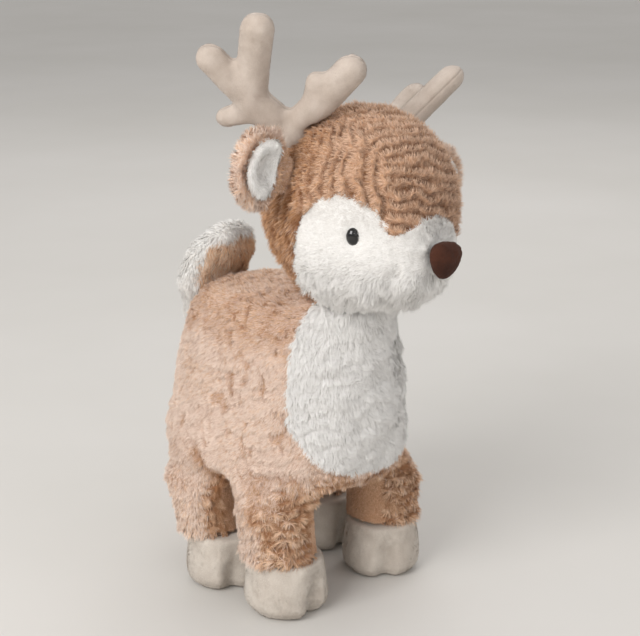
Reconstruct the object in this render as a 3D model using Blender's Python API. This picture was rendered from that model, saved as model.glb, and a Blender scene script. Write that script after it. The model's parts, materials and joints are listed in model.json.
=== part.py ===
"""A standing plush deer, built as it is sewn: stuffed forms covered by plush panels.

The deer faces -Y and its left side is +X. The origin is on the floor, under the middle
of the deer's outline. Lengths are in metres. A name that ends in share or shares holds
parts of the named size that it follows.
"""

import math

import bmesh
import bpy
from mathutils import Matrix, Vector

# Sewing
PLUSH_THICKNESS = 0.0026
SEAM_GAP = 0.0003
JOINT_CLEARANCE = 0.0004
CUT_OVERRUN = 0.02
FLAT_WITHIN = 0.00001
ROOT_SEGMENTS = 12

# Torso
TORSO_WIDTH = 0.108
CHEST_REACH = 0.0675
RUMP_REACH = 0.090
BELLY_HEIGHT = 0.064
BACK_HEIGHT = 0.1825
CHEST_ROUNDNESS_SHARE = 1.0
RUMP_ROUNDNESS_SHARE = 0.8
TORSO_SEGMENTS = 20
NECK_RADIUS = 0.027
NECK_STUB = 0.0045
NECK_SETBACK = 0.001
BIB_EDGE_SETBACK = 0.0345
BIB_WIDTH = 0.092
BIB_RISE = 0.017
BIB_CORNER_RADIUS = 0.034
BELLY_PANEL_WIDTH = 0.060
BELLY_PANEL_RISE = 0.010

# Legs and hooves
HIP_DROP = 0.007
HIP_INSET = 0.0100
FRONT_HIP_SETBACK = 0.0440
HIND_HIP_SETBACK = 0.0490
LEG_RADIUS = 0.0242
ANKLE_RADIUS = 0.0222
LEG_SPLAY = -0.0035
FRONT_LEG_LEAN = -0.0038
HIND_LEG_LEAN = -0.0137
LEG_SEGMENTS = 12
HIP_SEGMENTS = 14
HOOF_HEIGHT = 0.034
HOOF_WIDTH = 0.047
HOOF_LENGTH = 0.050
HOOF_CLEFT = 0.0075
SOLE_CUT = 0.0005
HOOF_SEGMENTS = 18

# Head
HEAD_FORWARD = 0.0085
HEAD_RISE = 0.0545
HEAD_RADIUS = 0.0558
HEAD_TILT_DEG = 11.0
HEAD_TURN_DEG = 0.0
HEAD_SEGMENTS = 18
HEAD_ROWS = 10
HEAD_SPAN_SHARE = 1.56
MUZZLE_REACH = 0.013
CHIN_REACH = 0.021
GUSSET_WIDTH = 0.058
NOSE_HEIGHT = 0.021
NOSE_WIDTH = 0.024
NOSE_THICKNESS = 0.006
NOSE_DROP = 0.0195
EYE_RADIUS = 0.0050
EYE_DOME_SHARE = 0.75
EYE_SHANK_RADIUS = 0.0018
EYE_WASHER_RADIUS = 0.0055
EYE_WASHER_THICKNESS = 0.0014
EYE_WASHER_SINK = 0.0020

# Ears
EAR_LENGTH = 0.033
EAR_WIDTH = 0.039
EAR_OUTER_THICKNESS = 0.0034
EAR_LINING_THICKNESS = 0.0026
EAR_CUP = 0.005
EAR_RIM = 0.0055
EAR_ROOT_LENGTH = 0.022
EAR_ROOT_RADIUS = 0.0044

# Antlers
ANTLER_LIMB_RADIUS = 0.0098
ANTLER_FLATNESS_SHARE = 0.82
ANTLER_ROOT_RADIUS = 0.0112
ANTLER_CLEARANCE = 0.0012
ANTLER_SEGMENTS = 8

# Tail
TAIL_WIDTH = 0.047
TAIL_LENGTH = 0.053
TAIL_THICKNESS = 0.031
TAIL_ROOT_RADIUS = 0.0105
TAIL_ROOT_LENGTH = 0.036
TAIL_RISE_DEG = 84.0
TAIL_SEAT_ROW = 5
TAIL_SEGMENTS = 12

# Rows from the belly up: height, half width, chest reach and rump reach
TORSO_SECTION_SHARES = (
    (0.00, 0.70, 0.66, 0.72),
    (0.03, 0.91, 0.82, 0.89),
    (0.11, 1.06, 0.93, 1.00),
    (0.28, 1.09, 0.98, 1.03),
    (0.50, 1.03, 1.00, 1.02),
    (0.70, 0.96, 0.98, 0.97),
    (0.85, 0.86, 0.97, 0.90),
    (0.94, 0.74, 0.97, 0.81),
    (1.00, 0.58, 0.97, 0.62),
)
# Rows down the neck into the chest: drop, radius and setback, of the neck's radius
NECK_SECTION_SHARES = ((-0.6, 1.0, 0.0), (0.15, 1.02, 0.02), (0.7, 1.18, 0.27), (1.3, 1.30, 0.46))
# Rows from the hip down to the hoof: height and radius
LEG_SECTION_SHARES = ((0.0, 0.0), (0.3, 0.15), (0.65, 0.6), (1.0, 1.0))
# Rows from the sole up: height, outline and depth of the cleft
HOOF_SECTION_SHARES = (
    (0.00, 0.78, 1.00),
    (0.05, 0.90, 1.05),
    (0.20, 1.00, 1.10),
    (0.45, 1.00, 0.90),
    (0.75, 0.95, 0.30),
    (1.00, 0.90, 0.00),
)
# Rows up the tail: height, half width, half thickness and forward curl
TAIL_SECTION_SHARES = (
    (0.00, 0.62, 0.55, 0.00),
    (0.15, 0.80, 0.80, 0.02),
    (0.35, 0.97, 1.00, 0.08),
    (0.55, 1.00, 1.02, 0.18),
    (0.75, 0.88, 0.90, 0.32),
    (0.90, 0.64, 0.64, 0.44),
    (0.97, 0.38, 0.38, 0.49),
)
# White part of the head's side, forward and up from the head's centre, of its radius
FACE_OUTLINE_SHARES = (
    (-0.20, -1.60),
    (-0.08, -0.75),
    (0.02, -0.40),
    (0.14, -0.14),
    (0.32, 0.06),
    (0.52, 0.13),
    (0.70, 0.08),
    (0.84, -0.06),
    (0.92, -0.12),
    (2.00, -0.12),
    (2.00, -1.60),
)
NOSE_BRIDGE_TOP_SHARE = 0.05
# Directions from the head's centre: 0 is forward, 90 is out to the side
EYE_AZIMUTH_DEG = 50.0
EYE_RISE_DEG = -13.0
EAR_AZIMUTH_DEG = 97.0
EAR_RISE_DEG = 12.0
EAR_OUT_AZIMUTH_DEG = 95.0
EAR_OUT_RISE_DEG = 9.0
EAR_FACE_AZIMUTH_DEG = 35.0
EAR_FACE_RISE_DEG = 5.0
ANTLER_AZIMUTH_DEG = 122.0
ANTLER_RISE_DEG = 37.0
MUZZLE_SPREAD_SHARE = 0.62
# Antler joints: outward and up from the root, and radius, of the limb radius
ANTLER_LIMB_SHARES = {
    "beam": ((0.0, 0.0, 1.00), (2.4, 1.8, 1.12)),
    "tine": ((2.5, 2.0, 1.02), (2.35, 6.5, 0.98)),
    "rear_lobe": ((2.7, 2.1, 0.95), (4.75, 4.2, 0.90)),
    "spur": ((2.2, 1.2, 0.80), (3.8, 0.45, 0.62)),
    "front_branch": ((-0.1, 0.3, 1.02), (-2.85, 4.7, 0.96)),
    "front_knob": ((-1.1, 2.4, 0.80), (-1.1, 3.6, 0.70)),
}
# Per side: swing of the antler's plane from straight back, its outward lean, and its
# backward droop in that plane
ANTLER_SWING_DEG = {"left": 38.0, "right": 42.0}
ANTLER_LEAN_DEG = {"left": 39.0, "right": 34.0}
ANTLER_DROOP_DEG = {"left": 38.0, "right": 0.0}
# Twist of each foot about its leg, positive towards the deer's left
FOOT_TWIST_DEG = {"front_left": -38.0, "front_right": 4.0, "hind_left": 0.0, "hind_right": -30.0}

# Places that follow from the sizes above
NECK_HEIGHT = BACK_HEIGHT + NECK_STUB
NECK_Y = -(CHEST_REACH - NECK_SETBACK - NECK_RADIUS)
HEAD_CENTRE = Vector((0.0, NECK_Y - HEAD_FORWARD, NECK_HEIGHT + HEAD_RISE))
HIP_HEIGHT = BELLY_HEIGHT - HIP_DROP
BIB_EDGE_Y = -(CHEST_REACH - BIB_EDGE_SETBACK)
BIB_BOTTOM = BELLY_HEIGHT + BIB_RISE

TAN = (0.72, 0.52, 0.40, 1.0)
HEAD_TAN = (0.62, 0.40, 0.27, 1.0)
WHITE = (0.88, 0.86, 0.82, 1.0)
SHORT_TAN = (0.60, 0.40, 0.27, 1.0)
BEIGE = (0.70, 0.60, 0.51, 1.0)
CREAM = (0.80, 0.76, 0.67, 1.0)
NOSE_BROWN = (0.13, 0.04, 0.025, 1.0)
EYE_BLACK = (0.01, 0.01, 0.01, 1.0)
FILLING = (0.90, 0.90, 0.88, 1.0)
SIDES = {"left": 1.0, "right": -1.0}
LEFT_SIDE = Vector((1.0, 0.0, 0.0))


def clear_scene():
    """Removes whatever the scene holds."""
    for item in list(bpy.data.objects):
        bpy.data.objects.remove(item, do_unlink=True)


def dress(item, colour, roughness):
    """Gives an object its own material."""
    material = bpy.data.materials.new(item.name)
    material.use_nodes = True
    shader = material.node_tree.nodes["Principled BSDF"]
    shader.inputs["Base Color"].default_value = colour
    shader.inputs["Roughness"].default_value = roughness
    shader.inputs["Metallic"].default_value = 0.0
    item.data.materials.clear()
    item.data.materials.append(material)
    item.data.shade_smooth()
    item.data.set_sharp_from_angle(angle=math.radians(40.0))


def mesh_object(name, points, faces):
    """Makes an object whose faces point out."""
    mesh = bpy.data.meshes.new(name)
    mesh.from_pydata([tuple(p) for p in points], [], faces)
    work = bmesh.new()
    work.from_mesh(mesh)
    bmesh.ops.recalc_face_normals(work, faces=work.faces)
    work.to_mesh(mesh)
    work.free()
    item = bpy.data.objects.new(name, mesh)
    bpy.context.collection.objects.link(item)
    return item


def is_flat(corners):
    """Whether four points lie in one plane, or nearly."""
    first, second, third, fourth = corners
    normal = (second - first).cross(third - first).normalized()
    return abs(normal.dot(fourth - first)) < FLAT_WITHIN


def loft(name, rings):
    """Joins rings of points into a closed form. A ring of one point is a pole."""
    points = []
    starts = []
    for ring in rings:
        starts.append(len(points))
        points.extend(ring)
    faces = []
    for k in range(len(rings) - 1):
        low, high = rings[k], rings[k + 1]
        count = max(len(low), len(high))
        for j in range(count):
            after = (j + 1) % count
            corners = [starts[k] + j, starts[k] + after, starts[k + 1] + after, starts[k + 1] + j]
            if min(len(low), len(high)) > 1 and is_flat([points[corner] for corner in corners]):
                faces.append(corners)
                continue
            if len(high) > 1:
                near = starts[k] + (j if len(low) > 1 else 0)
                faces.append([near, starts[k + 1] + after, starts[k + 1] + j])
            if len(low) > 1:
                far = starts[k + 1] + (after if len(high) > 1 else 0)
                faces.append([starts[k] + j, starts[k] + after, far])
    for k in (0, len(rings) - 1):
        if len(rings[k]) > 1:
            faces.append([starts[k] + j for j in range(len(rings[k]))])
    return mesh_object(name, points, faces)


def copy_of(item, name):
    """Copies an object and its mesh."""
    twin = item.copy()
    twin.data = item.data.copy()
    twin.name = name
    bpy.context.collection.objects.link(twin)
    return twin


def discard(*items):
    """Removes working shapes that aren't pieces."""
    for item in items:
        bpy.data.objects.remove(item, do_unlink=True)


def grown(item, name, distance):
    """Copies a closed form with its surface moved out by a distance, or in if negative."""
    twin = copy_of(item, name)
    work = bmesh.new()
    work.from_mesh(twin.data)
    work.normal_update()
    moves = [vertex.normal * distance * vertex.calc_shell_factor() for vertex in work.verts]
    for vertex, move in zip(work.verts, moves):
        vertex.co += move
    work.to_mesh(twin.data)
    work.free()
    return twin


def boolean(item, tool, operation):
    """Cuts, keeps or joins by an exact Boolean, applied at once."""
    modifier = item.modifiers.new(operation, "BOOLEAN")
    modifier.operation = operation
    modifier.solver = "EXACT"
    modifier.object = tool
    tool.hide_render = True
    tool.display_type = "WIRE"
    graph = bpy.context.evaluated_depsgraph_get()
    result = bpy.data.meshes.new_from_object(item.evaluated_get(graph))
    item.modifiers.clear()
    item.data = result


def cut(item, *tools):
    """Takes tools out of an object."""
    for tool in tools:
        boolean(item, tool, "DIFFERENCE")


def keep(item, *tools):
    """Keeps only what of an object lies in each tool."""
    for tool in tools:
        boolean(item, tool, "INTERSECT")


def box(name, low, high, frame=None):
    """A cutter box between two corners, in a frame."""
    points = [
        Vector((x, y, z)) for x in (low[0], high[0]) for y in (low[1], high[1]) for z in (low[2], high[2])
    ]
    faces = [(0, 1, 3, 2), (4, 6, 7, 5), (0, 4, 5, 1), (2, 3, 7, 6), (0, 2, 6, 4), (1, 5, 7, 3)]
    item = mesh_object(name, points, faces)
    if frame is not None:
        item.data.transform(frame)
    return item


def prism(name, outline, reach, frame):
    """A cutter along X with an outline of Y and Z points, in a frame."""
    rings = [[Vector((x, y, z)) for y, z in outline] for x in (-reach, reach)]
    item = loft(name, rings)
    item.data.transform(frame)
    return item


def spheroid(name, half_length, radius, frame, clearance=0.0, segments=ROOT_SEGMENTS):
    """A form of revolution about the X axis of a frame, fit to turn about it.

    With a clearance it is the hollow for such a form: its flats face the form's corners
    and stand clear by as much.
    """
    rows = segments // 2
    slack = 1.0 / math.cos(math.pi / segments) if clearance else 1.0
    first = 0.5 if clearance else 0.0
    length = (half_length + clearance) * slack
    girth = (radius + clearance) * slack
    rings = [[Vector((-length, 0.0, 0.0))]]
    for k in range(1, rows):
        angle = math.pi * k / rows
        x = -length * math.cos(angle)
        reach = girth * math.sin(angle)
        turns = [math.tau * (j + first) / segments for j in range(segments)]
        rings.append([Vector((x, reach * math.cos(t), reach * math.sin(t))) for t in turns])
    rings.append([Vector((length, 0.0, 0.0))])
    item = loft(name, rings)
    item.data.transform(frame)
    return item


def oval_ring(centre, half_width, front, rear, segments, front_roundness=1.0, rear_roundness=1.0):
    """A level ring: half_width each way in X, front towards -Y and rear towards +Y.

    A roundness of 1 is an ellipse, and a lower one is squarer.
    """
    ring = []
    for j in range(segments):
        angle = math.tau * (j + 0.5) / segments
        across, along = math.sin(angle), math.cos(angle)
        power = front_roundness if along > 0.0 else rear_roundness
        x = half_width * math.copysign(abs(across) ** power, across)
        reach = front if along > 0.0 else rear
        y = -reach * math.copysign(abs(along) ** power, along)
        ring.append(Vector((centre[0] + x, centre[1] + y, centre[2])))
    return ring


def hinge_frame(centre, axis):
    """A frame whose X axis lies along a hinge."""
    turn = LEFT_SIDE.rotation_difference(Vector(axis).normalized())
    return Matrix.Translation(centre) @ turn.to_matrix().to_4x4()


def panel(name, form, inner, keeps, cuts):
    """One plush panel: the part of a form's cover that lies in keeps and out of cuts."""
    item = copy_of(form, name)
    keep(item, *keeps)
    cut(item, *cuts, inner)
    return item


def head_frame():
    """The head's own frame: forward -Y, turned and tilted as it is sewn on."""
    turn = Matrix.Rotation(math.radians(HEAD_TURN_DEG), 4, "Z")
    tilt = Matrix.Rotation(math.radians(HEAD_TILT_DEG), 4, "Y")
    return Matrix.Translation(HEAD_CENTRE) @ turn @ tilt


def torso_form(name, shrink=0.0):
    """The stuffed body with a short neck that carries the head, or its inside when shrunk."""
    height = BACK_HEIGHT - BELLY_HEIGHT - 2.0 * shrink
    rings = []
    for up, wide, front, rear in TORSO_SECTION_SHARES:
        centre = (0.0, 0.0, BELLY_HEIGHT + shrink + up * height)
        half_width = wide * TORSO_WIDTH / 2.0 - shrink
        reaches = (front * CHEST_REACH - shrink, rear * RUMP_REACH - shrink)
        rings.append(
            oval_ring(centre, half_width, *reaches, TORSO_SEGMENTS, CHEST_ROUNDNESS_SHARE, RUMP_ROUNDNESS_SHARE)
        )
    form = loft(name, rings)
    neck_rings = []
    for drop, spread, setback in NECK_SECTION_SHARES:
        centre = (0.0, NECK_Y + setback * NECK_RADIUS, NECK_HEIGHT - drop * NECK_RADIUS)
        reach = spread * NECK_RADIUS - shrink
        neck_rings.append(oval_ring(centre, reach, reach, reach, TORSO_SEGMENTS))
    neck = loft("neck", neck_rings)
    boolean(form, neck, "UNION")
    discard(neck)
    return form


def hips():
    """The four hip joints, by leg."""
    along = {"front": FRONT_HIP_SETBACK - CHEST_REACH, "hind": RUMP_REACH - HIND_HIP_SETBACK}
    across = TORSO_WIDTH / 2.0 - HIP_INSET
    return {
        f"{end}_{side}": Vector((sign * across, y, HIP_HEIGHT))
        for end, y in along.items()
        for side, sign in SIDES.items()
    }


def hoof_centre(leg):
    """The middle of a leg's sole."""
    end, side = leg.split("_")
    lean = FRONT_LEG_LEAN if end == "front" else HIND_LEG_LEAN
    hip = hips()[leg]
    return Vector((hip.x + SIDES[side] * LEG_SPLAY, hip.y + lean, 0.0))


def hip_ball(name, centre, clearance):
    """The hollow that takes the rounded top of a leg."""
    radius = LEG_RADIUS / math.cos(math.pi / HIP_SEGMENTS)
    return spheroid(name, radius, radius, Matrix.Translation(centre), clearance, HIP_SEGMENTS)


def leg_form(name, leg, shrink, drop):
    """A leg from its rounded top to the hoof's upper seam."""
    hip, foot = hips()[leg], hoof_centre(leg)
    bottom = HOOF_HEIGHT + SEAM_GAP
    radius = LEG_RADIUS - shrink
    rings = [[hip + Vector((0.0, 0.0, radius))]]
    for k in range(1, LEG_SEGMENTS // 4):
        rise = math.pi / 2.0 * (1.0 - k * 4.0 / LEG_SEGMENTS)
        level = (hip.x, hip.y, hip.z + radius * math.sin(rise))
        reach = radius * math.cos(rise)
        rings.append(oval_ring(level, reach, reach, reach, LEG_SEGMENTS))
    for down, taper in LEG_SECTION_SHARES:
        z = hip.z + down * (bottom - hip.z)
        slope = (hip.z - z) / hip.z
        reach = LEG_RADIUS + taper * (ANKLE_RADIUS - LEG_RADIUS) - shrink
        level = (hip.x + slope * (foot.x - hip.x), hip.y + slope * (foot.y - hip.y), z)
        rings.append(oval_ring(level, reach, reach, reach, LEG_SEGMENTS))
    if drop:
        rings.append([point - Vector((0.0, 0.0, drop)) for point in rings[-1]])
    return loft(name, rings)


def twist_frame(leg, height):
    """A frame on a leg's axis, turned with the foot."""
    hip, foot = hips()[leg], hoof_centre(leg)
    share = height / hip.z
    centre = foot + share * (Vector((hip.x, hip.y, 0.0)) - foot)
    turn = Matrix.Rotation(math.radians(FOOT_TWIST_DEG[leg]), 4, "Z")
    return Matrix.Translation(centre) @ turn


def build_leg(leg):
    """One leg's panels and filling."""
    side = leg.split("_")[1]
    form = leg_form("form", leg, 0.0, 0.0)
    inner = leg_form("inner", leg, PLUSH_THICKNESS, CUT_OVERRUN)
    filling = leg_form(f"leg_filling_{leg}", leg, PLUSH_THICKNESS + SEAM_GAP, 0.0)
    frame = twist_frame(leg, HOOF_HEIGHT)
    pieces = [filling]
    far = HIP_HEIGHT + LEG_RADIUS
    for layer, sign in (("outer", SIDES[side]), ("inner", -SIDES[side])):
        edges = sorted((sign * SEAM_GAP / 2.0, sign * far))
        half = box("half", (edges[0], -far, -far), (edges[1], far, far), frame)
        pieces.append(panel(f"leg_{layer}_{leg}", form, inner, [half], []))
        discard(half)
    discard(form, inner)
    dress(pieces[0], FILLING, 0.9)
    dress(pieces[1], TAN, 0.95)
    dress(pieces[2], SHORT_TAN, 0.9)
    return pieces


def hoof_ring(frame, height, outline, cleft):
    """A level ring round a hoof, drawn in at the toe by the cleft."""
    ring = []
    for j in range(HOOF_SEGMENTS):
        angle = math.tau * j / HOOF_SEGMENTS
        spread = math.remainder(angle, math.tau) * HOOF_SEGMENTS / 4.2
        notch = cleft * HOOF_CLEFT * math.exp(-(spread**2))
        x = outline * HOOF_WIDTH / 2.0 * math.sin(angle)
        y = -(outline * HOOF_LENGTH / 2.0) * math.cos(angle)
        ring.append(frame @ Vector((x, y + notch, height)))
    return ring


def build_hoof(leg):
    """One stuffed hoof, cut flat where it stands."""
    frame = Matrix.Translation(hoof_centre(leg)) @ Matrix.Rotation(math.radians(FOOT_TWIST_DEG[leg]), 4, "Z")
    rings = []
    for up, outline, cleft in HOOF_SECTION_SHARES:
        height = up * (HOOF_HEIGHT + SOLE_CUT) - SOLE_CUT
        rings.append(hoof_ring(frame, height, outline, cleft))
    hoof = loft(f"hoof_{leg}", rings)
    reach = HOOF_LENGTH + HOOF_WIDTH
    floor = box("floor", (-reach, -reach, -CUT_OVERRUN), (reach, reach, 0.0), frame)
    cut(hoof, floor)
    discard(floor)
    dress(hoof, CREAM, 0.85)
    return hoof


def tail_seat():
    """The tail's hinge, on the midline of the rump between two rows of the torso."""
    low, high = TORSO_SECTION_SHARES[TAIL_SEAT_ROW], TORSO_SECTION_SHARES[TAIL_SEAT_ROW + 1]
    up = (low[0] + high[0]) / 2.0
    rear = (low[3] + high[3]) / 2.0
    return Vector((0.0, rear * RUMP_REACH, BELLY_HEIGHT + up * (BACK_HEIGHT - BELLY_HEIGHT)))


def tail_frame():
    """The tail's frame: X along its hinge, Z along the tail."""
    rise = Matrix.Rotation(math.radians(TAIL_RISE_DEG - 90.0), 4, "X")
    return Matrix.Translation(tail_seat()) @ rise


def tail_root(name, clearance=0.0):
    """The rounded root of the tail, or the hollow that takes it."""
    frame = Matrix.Translation(tail_seat())
    return spheroid(name, TAIL_ROOT_LENGTH / 2.0, TAIL_ROOT_RADIUS, frame, clearance)


def tail_form(shrink):
    """The stuffed tail, curling forward and clear of the rump, or its inside when shrunk."""
    rings = []
    for up, wide, thick, curl in TAIL_SECTION_SHARES:
        level = (0.0, -curl * TAIL_LENGTH, shrink + up * (TAIL_LENGTH - 2.0 * shrink))
        half_width = wide * TAIL_WIDTH / 2.0 - shrink
        half_depth = thick * TAIL_THICKNESS / 2.0 - shrink
        rings.append(oval_ring(level, half_width, half_depth, half_depth, TAIL_SEGMENTS))
    rings.append([Vector((0.0, -TAIL_SECTION_SHARES[-1][3] * TAIL_LENGTH, TAIL_LENGTH - shrink))])
    item = loft("tail_form", rings)
    item.data.transform(tail_frame())
    rump = torso_form("rump", -JOINT_CLEARANCE - shrink)
    cut(item, rump)
    discard(rump)
    return item


def build_tail():
    """The tail's two panels and its filling."""
    form = tail_form(0.0)
    inner = tail_form(PLUSH_THICKNESS)
    filling = tail_form(PLUSH_THICKNESS + SEAM_GAP)
    filling.name = "tail_filling"
    root = tail_root("root")
    boolean(form, root, "UNION")
    reach = TAIL_LENGTH + TAIL_WIDTH
    lean = math.atan2(TAIL_SECTION_SHARES[-1][3], 1.0)
    seam = tail_frame() @ Matrix.Rotation(lean, 4, "X")
    pieces = [filling]
    for name, low, high, colour in (
        ("tail_inner_face", -reach, -SEAM_GAP / 2.0, HEAD_TAN),
        ("tail_outer_face", SEAM_GAP / 2.0, reach, WHITE),
    ):
        half = box("half", (-reach, low, -reach), (reach, high, reach), seam)
        pieces.append(panel(name, form, inner, [half], []))
        dress(pieces[-1], colour, 0.95)
        discard(half)
    discard(form, inner, root)
    dress(filling, FILLING, 0.9)
    return pieces


def muzzle_reach(height):
    """How far the muzzle stands out of the round head, by height over the head's centre."""
    share = height / HEAD_RADIUS
    nose = MUZZLE_REACH * math.exp(-(((share + 0.42) / 0.30) ** 2))
    chin = CHIN_REACH * math.exp(-(((share + 0.80) / 0.22) ** 2))
    return nose + chin


def head_reach(azimuth, height):
    """The level distance from the head's upright axis to its surface."""
    ball = math.sqrt(HEAD_RADIUS**2 - height**2)
    spread = math.remainder(azimuth, math.tau) / MUZZLE_SPREAD_SHARE
    return ball + muzzle_reach(height) * math.exp(-(spread**2))


def head_form(name, shrink=0.0):
    """The stuffed head, a ball with a low muzzle and a neck, or its inside when shrunk."""
    size = (HEAD_RADIUS - shrink) / HEAD_RADIUS
    rings = [[Vector((0.0, 0.0, size * HEAD_RADIUS))]]
    for k in range(1, HEAD_ROWS):
        rise = math.pi / 2.0 * (1.0 - HEAD_SPAN_SHARE * k / (HEAD_ROWS - 1))
        height = HEAD_RADIUS * math.sin(rise)
        ring = []
        for j in range(HEAD_SEGMENTS):
            angle = math.tau * (j + 0.5) / HEAD_SEGMENTS
            radius = head_reach(angle, height)
            ring.append(size * Vector((radius * math.sin(angle), -radius * math.cos(angle), height)))
        rings.append(ring)
    upright = head_frame().inverted()
    for level in (NECK_HEIGHT, NECK_HEIGHT - CUT_OVERRUN):
        neck = (0.0, NECK_Y, level)
        reach = NECK_RADIUS - shrink
        rings.append([upright @ point for point in oval_ring(neck, reach, reach, reach, HEAD_SEGMENTS)])
    form = loft(name, rings)
    form.data.transform(head_frame())
    return form


def on_head(azimuth_deg, rise_deg, radius):
    """A point of the head's own frame. Azimuth 0 is forward and 90 is the deer's left."""
    azimuth, rise = math.radians(azimuth_deg), math.radians(rise_deg)
    level = math.cos(rise)
    direction = Vector((level * math.sin(azimuth), -level * math.cos(azimuth), math.sin(rise)))
    return radius * direction


def eye_frame(side):
    """The eye's frame: X along its shank, out of the head."""
    out = on_head(SIDES[side] * EYE_AZIMUTH_DEG, EYE_RISE_DEG, 1.0)
    height = HEAD_RADIUS * out.z
    level = Vector((out.x, out.y, 0.0)).normalized() * head_reach(math.radians(EYE_AZIMUTH_DEG), height)
    return head_frame() @ hinge_frame(level + Vector((0.0, 0.0, height)), out)


def rod(name, radius, start, end, frame, segments=12):
    """A round bar along the X axis of a frame."""
    turns = [math.tau * j / segments for j in range(segments)]
    rings = [[Vector((x, radius * math.cos(t), radius * math.sin(t))) for t in turns] for x in (start, end)]
    item = loft(name, rings)
    item.data.transform(frame)
    return item


def ear_frame(side):
    """The ear's frame: X along its hinge, Z out along the ear, Y behind it."""
    sign = SIDES[side]
    seat = on_head(sign * EAR_AZIMUTH_DEG, EAR_RISE_DEG, HEAD_RADIUS + EAR_ROOT_RADIUS * 0.2)
    out = on_head(sign * EAR_OUT_AZIMUTH_DEG, EAR_OUT_RISE_DEG, 1.0)
    face = on_head(sign * EAR_FACE_AZIMUTH_DEG, EAR_FACE_RISE_DEG, 1.0)
    back = -(face - out * face.dot(out)).normalized()
    along = back.cross(out)
    turn = Matrix((along, back, out)).transposed().to_4x4()
    return head_frame() @ Matrix.Translation(seat) @ turn


def ear_root(name, side, clearance=0.0):
    """The gathered root of an ear, or the hollow that takes it."""
    return spheroid(name, EAR_ROOT_LENGTH / 2.0, EAR_ROOT_RADIUS, ear_frame(side), clearance)


def ear_plate(name, side, front, back, inset):
    """A cupped oval layer of an ear, between two depths behind its front."""
    segments, rows = 14, 3
    half_width = EAR_WIDTH / 2.0 - inset
    half_length = EAR_LENGTH / 2.0 - inset
    layers = []
    for depth in (front, back):
        rings = []
        for k in range(1, rows + 1):
            share = k / rows
            level = depth - EAR_CUP * (share * (half_width + inset) / (EAR_WIDTH / 2.0)) ** 2
            turns = [math.tau * j / segments for j in range(segments)]
            oval = [(math.cos(t), math.sin(t)) for t in turns]
            middle = EAR_LENGTH / 2.0
            rings.append(
                [Vector((share * half_width * x, level, middle + share * half_length * z)) for x, z in oval]
            )
        layers.append([[Vector((0.0, depth, EAR_LENGTH / 2.0))]] + rings)
    item = loft(name, layers[0] + layers[1][::-1])
    item.data.transform(ear_frame(side))
    return item


def build_ear(side):
    """One ear: the tan outer with its root, and the white lining set into it."""
    middle = EAR_CUP / 2.0
    outer = ear_plate(f"ear_outer_{side}", side, middle, middle + EAR_OUTER_THICKNESS, 0.0)
    root = ear_root("root", side)
    boolean(outer, root, "UNION")
    front = middle - SEAM_GAP - EAR_LINING_THICKNESS
    lining = ear_plate(f"ear_lining_{side}", side, front, middle - SEAM_GAP, EAR_RIM)
    hollow = ear_root("hollow", side, SEAM_GAP)
    cut(lining, hollow)
    discard(root, hollow)
    dress(outer, HEAD_TAN, 0.95)
    dress(lining, WHITE, 0.95)
    return [outer, lining]


def antler_frame(side):
    """The antler's frame: X out and back in its plane, Y through it, Z up it."""
    sign = SIDES[side]
    seat = on_head(sign * ANTLER_AZIMUTH_DEG, ANTLER_RISE_DEG, HEAD_RADIUS)
    swing, lean = math.radians(ANTLER_SWING_DEG[side]), math.radians(ANTLER_LEAN_DEG[side])
    out = Vector((sign * math.sin(swing), math.cos(swing), 0.0))
    face = Vector((sign * math.cos(swing), -math.sin(swing), 0.0))
    rise = math.cos(lean) * Vector((0.0, 0.0, 1.0)) + math.sin(lean) * face
    turn = Matrix((out, rise.cross(out), rise)).transposed().to_4x4()
    droop = Matrix.Rotation(math.radians(ANTLER_DROOP_DEG[side]), 4, "Y")
    return head_frame() @ Matrix.Translation(seat) @ turn @ droop


def antler_root(name, side, clearance=0.0):
    """The rounded root of an antler, or the hollow that takes it."""
    return spheroid(name, ANTLER_ROOT_RADIUS, ANTLER_ROOT_RADIUS, antler_frame(side), clearance)


def limb(name, start, end):
    """A tapered, round-ended limb in the antler's plane."""
    low = Vector((start[0], 0.0, start[1])) * ANTLER_LIMB_RADIUS
    high = Vector((end[0], 0.0, end[1])) * ANTLER_LIMB_RADIUS
    run = (high - low).normalized()
    across = run.cross(Vector((0.0, 1.0, 0.0)))
    rings = [[low - run * start[2] * ANTLER_LIMB_RADIUS]]
    for centre, radius, rises in ((low, start[2], (-50.0, -15.0)), (high, end[2], (15.0, 50.0))):
        for rise in rises:
            reach = radius * ANTLER_LIMB_RADIUS * math.cos(math.radians(rise))
            middle = centre + run * radius * ANTLER_LIMB_RADIUS * math.sin(math.radians(rise))
            ring = []
            for j in range(ANTLER_SEGMENTS):
                turn = math.tau * (j + 0.5) / ANTLER_SEGMENTS
                thick = Vector((0.0, ANTLER_FLATNESS_SHARE * math.sin(turn), 0.0))
                ring.append(middle + reach * (across * math.cos(turn) + thick))
            rings.append(ring)
    rings.append([high + run * end[2] * ANTLER_LIMB_RADIUS])
    return loft(name, rings)


def build_antler(side):
    """One antler, sewn from a front and a back panel over its filling."""
    frame = antler_frame(side)
    form = None
    for name, (start, end) in ANTLER_LIMB_SHARES.items():
        piece = limb(name, start, end)
        piece.data.transform(frame)
        if form is None:
            form = piece
            continue
        boolean(form, piece, "UNION")
        discard(piece)
    crown = head_form("crown", -ANTLER_CLEARANCE)
    cut(form, crown)
    discard(crown)
    root = antler_root("root", side)
    boolean(form, root, "UNION")
    reach = ANTLER_LIMB_RADIUS * 12.0
    pieces = []
    for name, low, high in (
        ("back", SEAM_GAP / 2.0, reach),
        ("front", -reach, -SEAM_GAP / 2.0),
    ):
        half = box("half", (-reach, low, -reach), (reach, high, reach), frame)
        item = copy_of(form, f"antler_{name}_{side}")
        keep(item, half)
        discard(half)
        dress(item, BEIGE, 0.8)
        pieces.append(item)
    discard(form, root)
    return pieces


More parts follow.
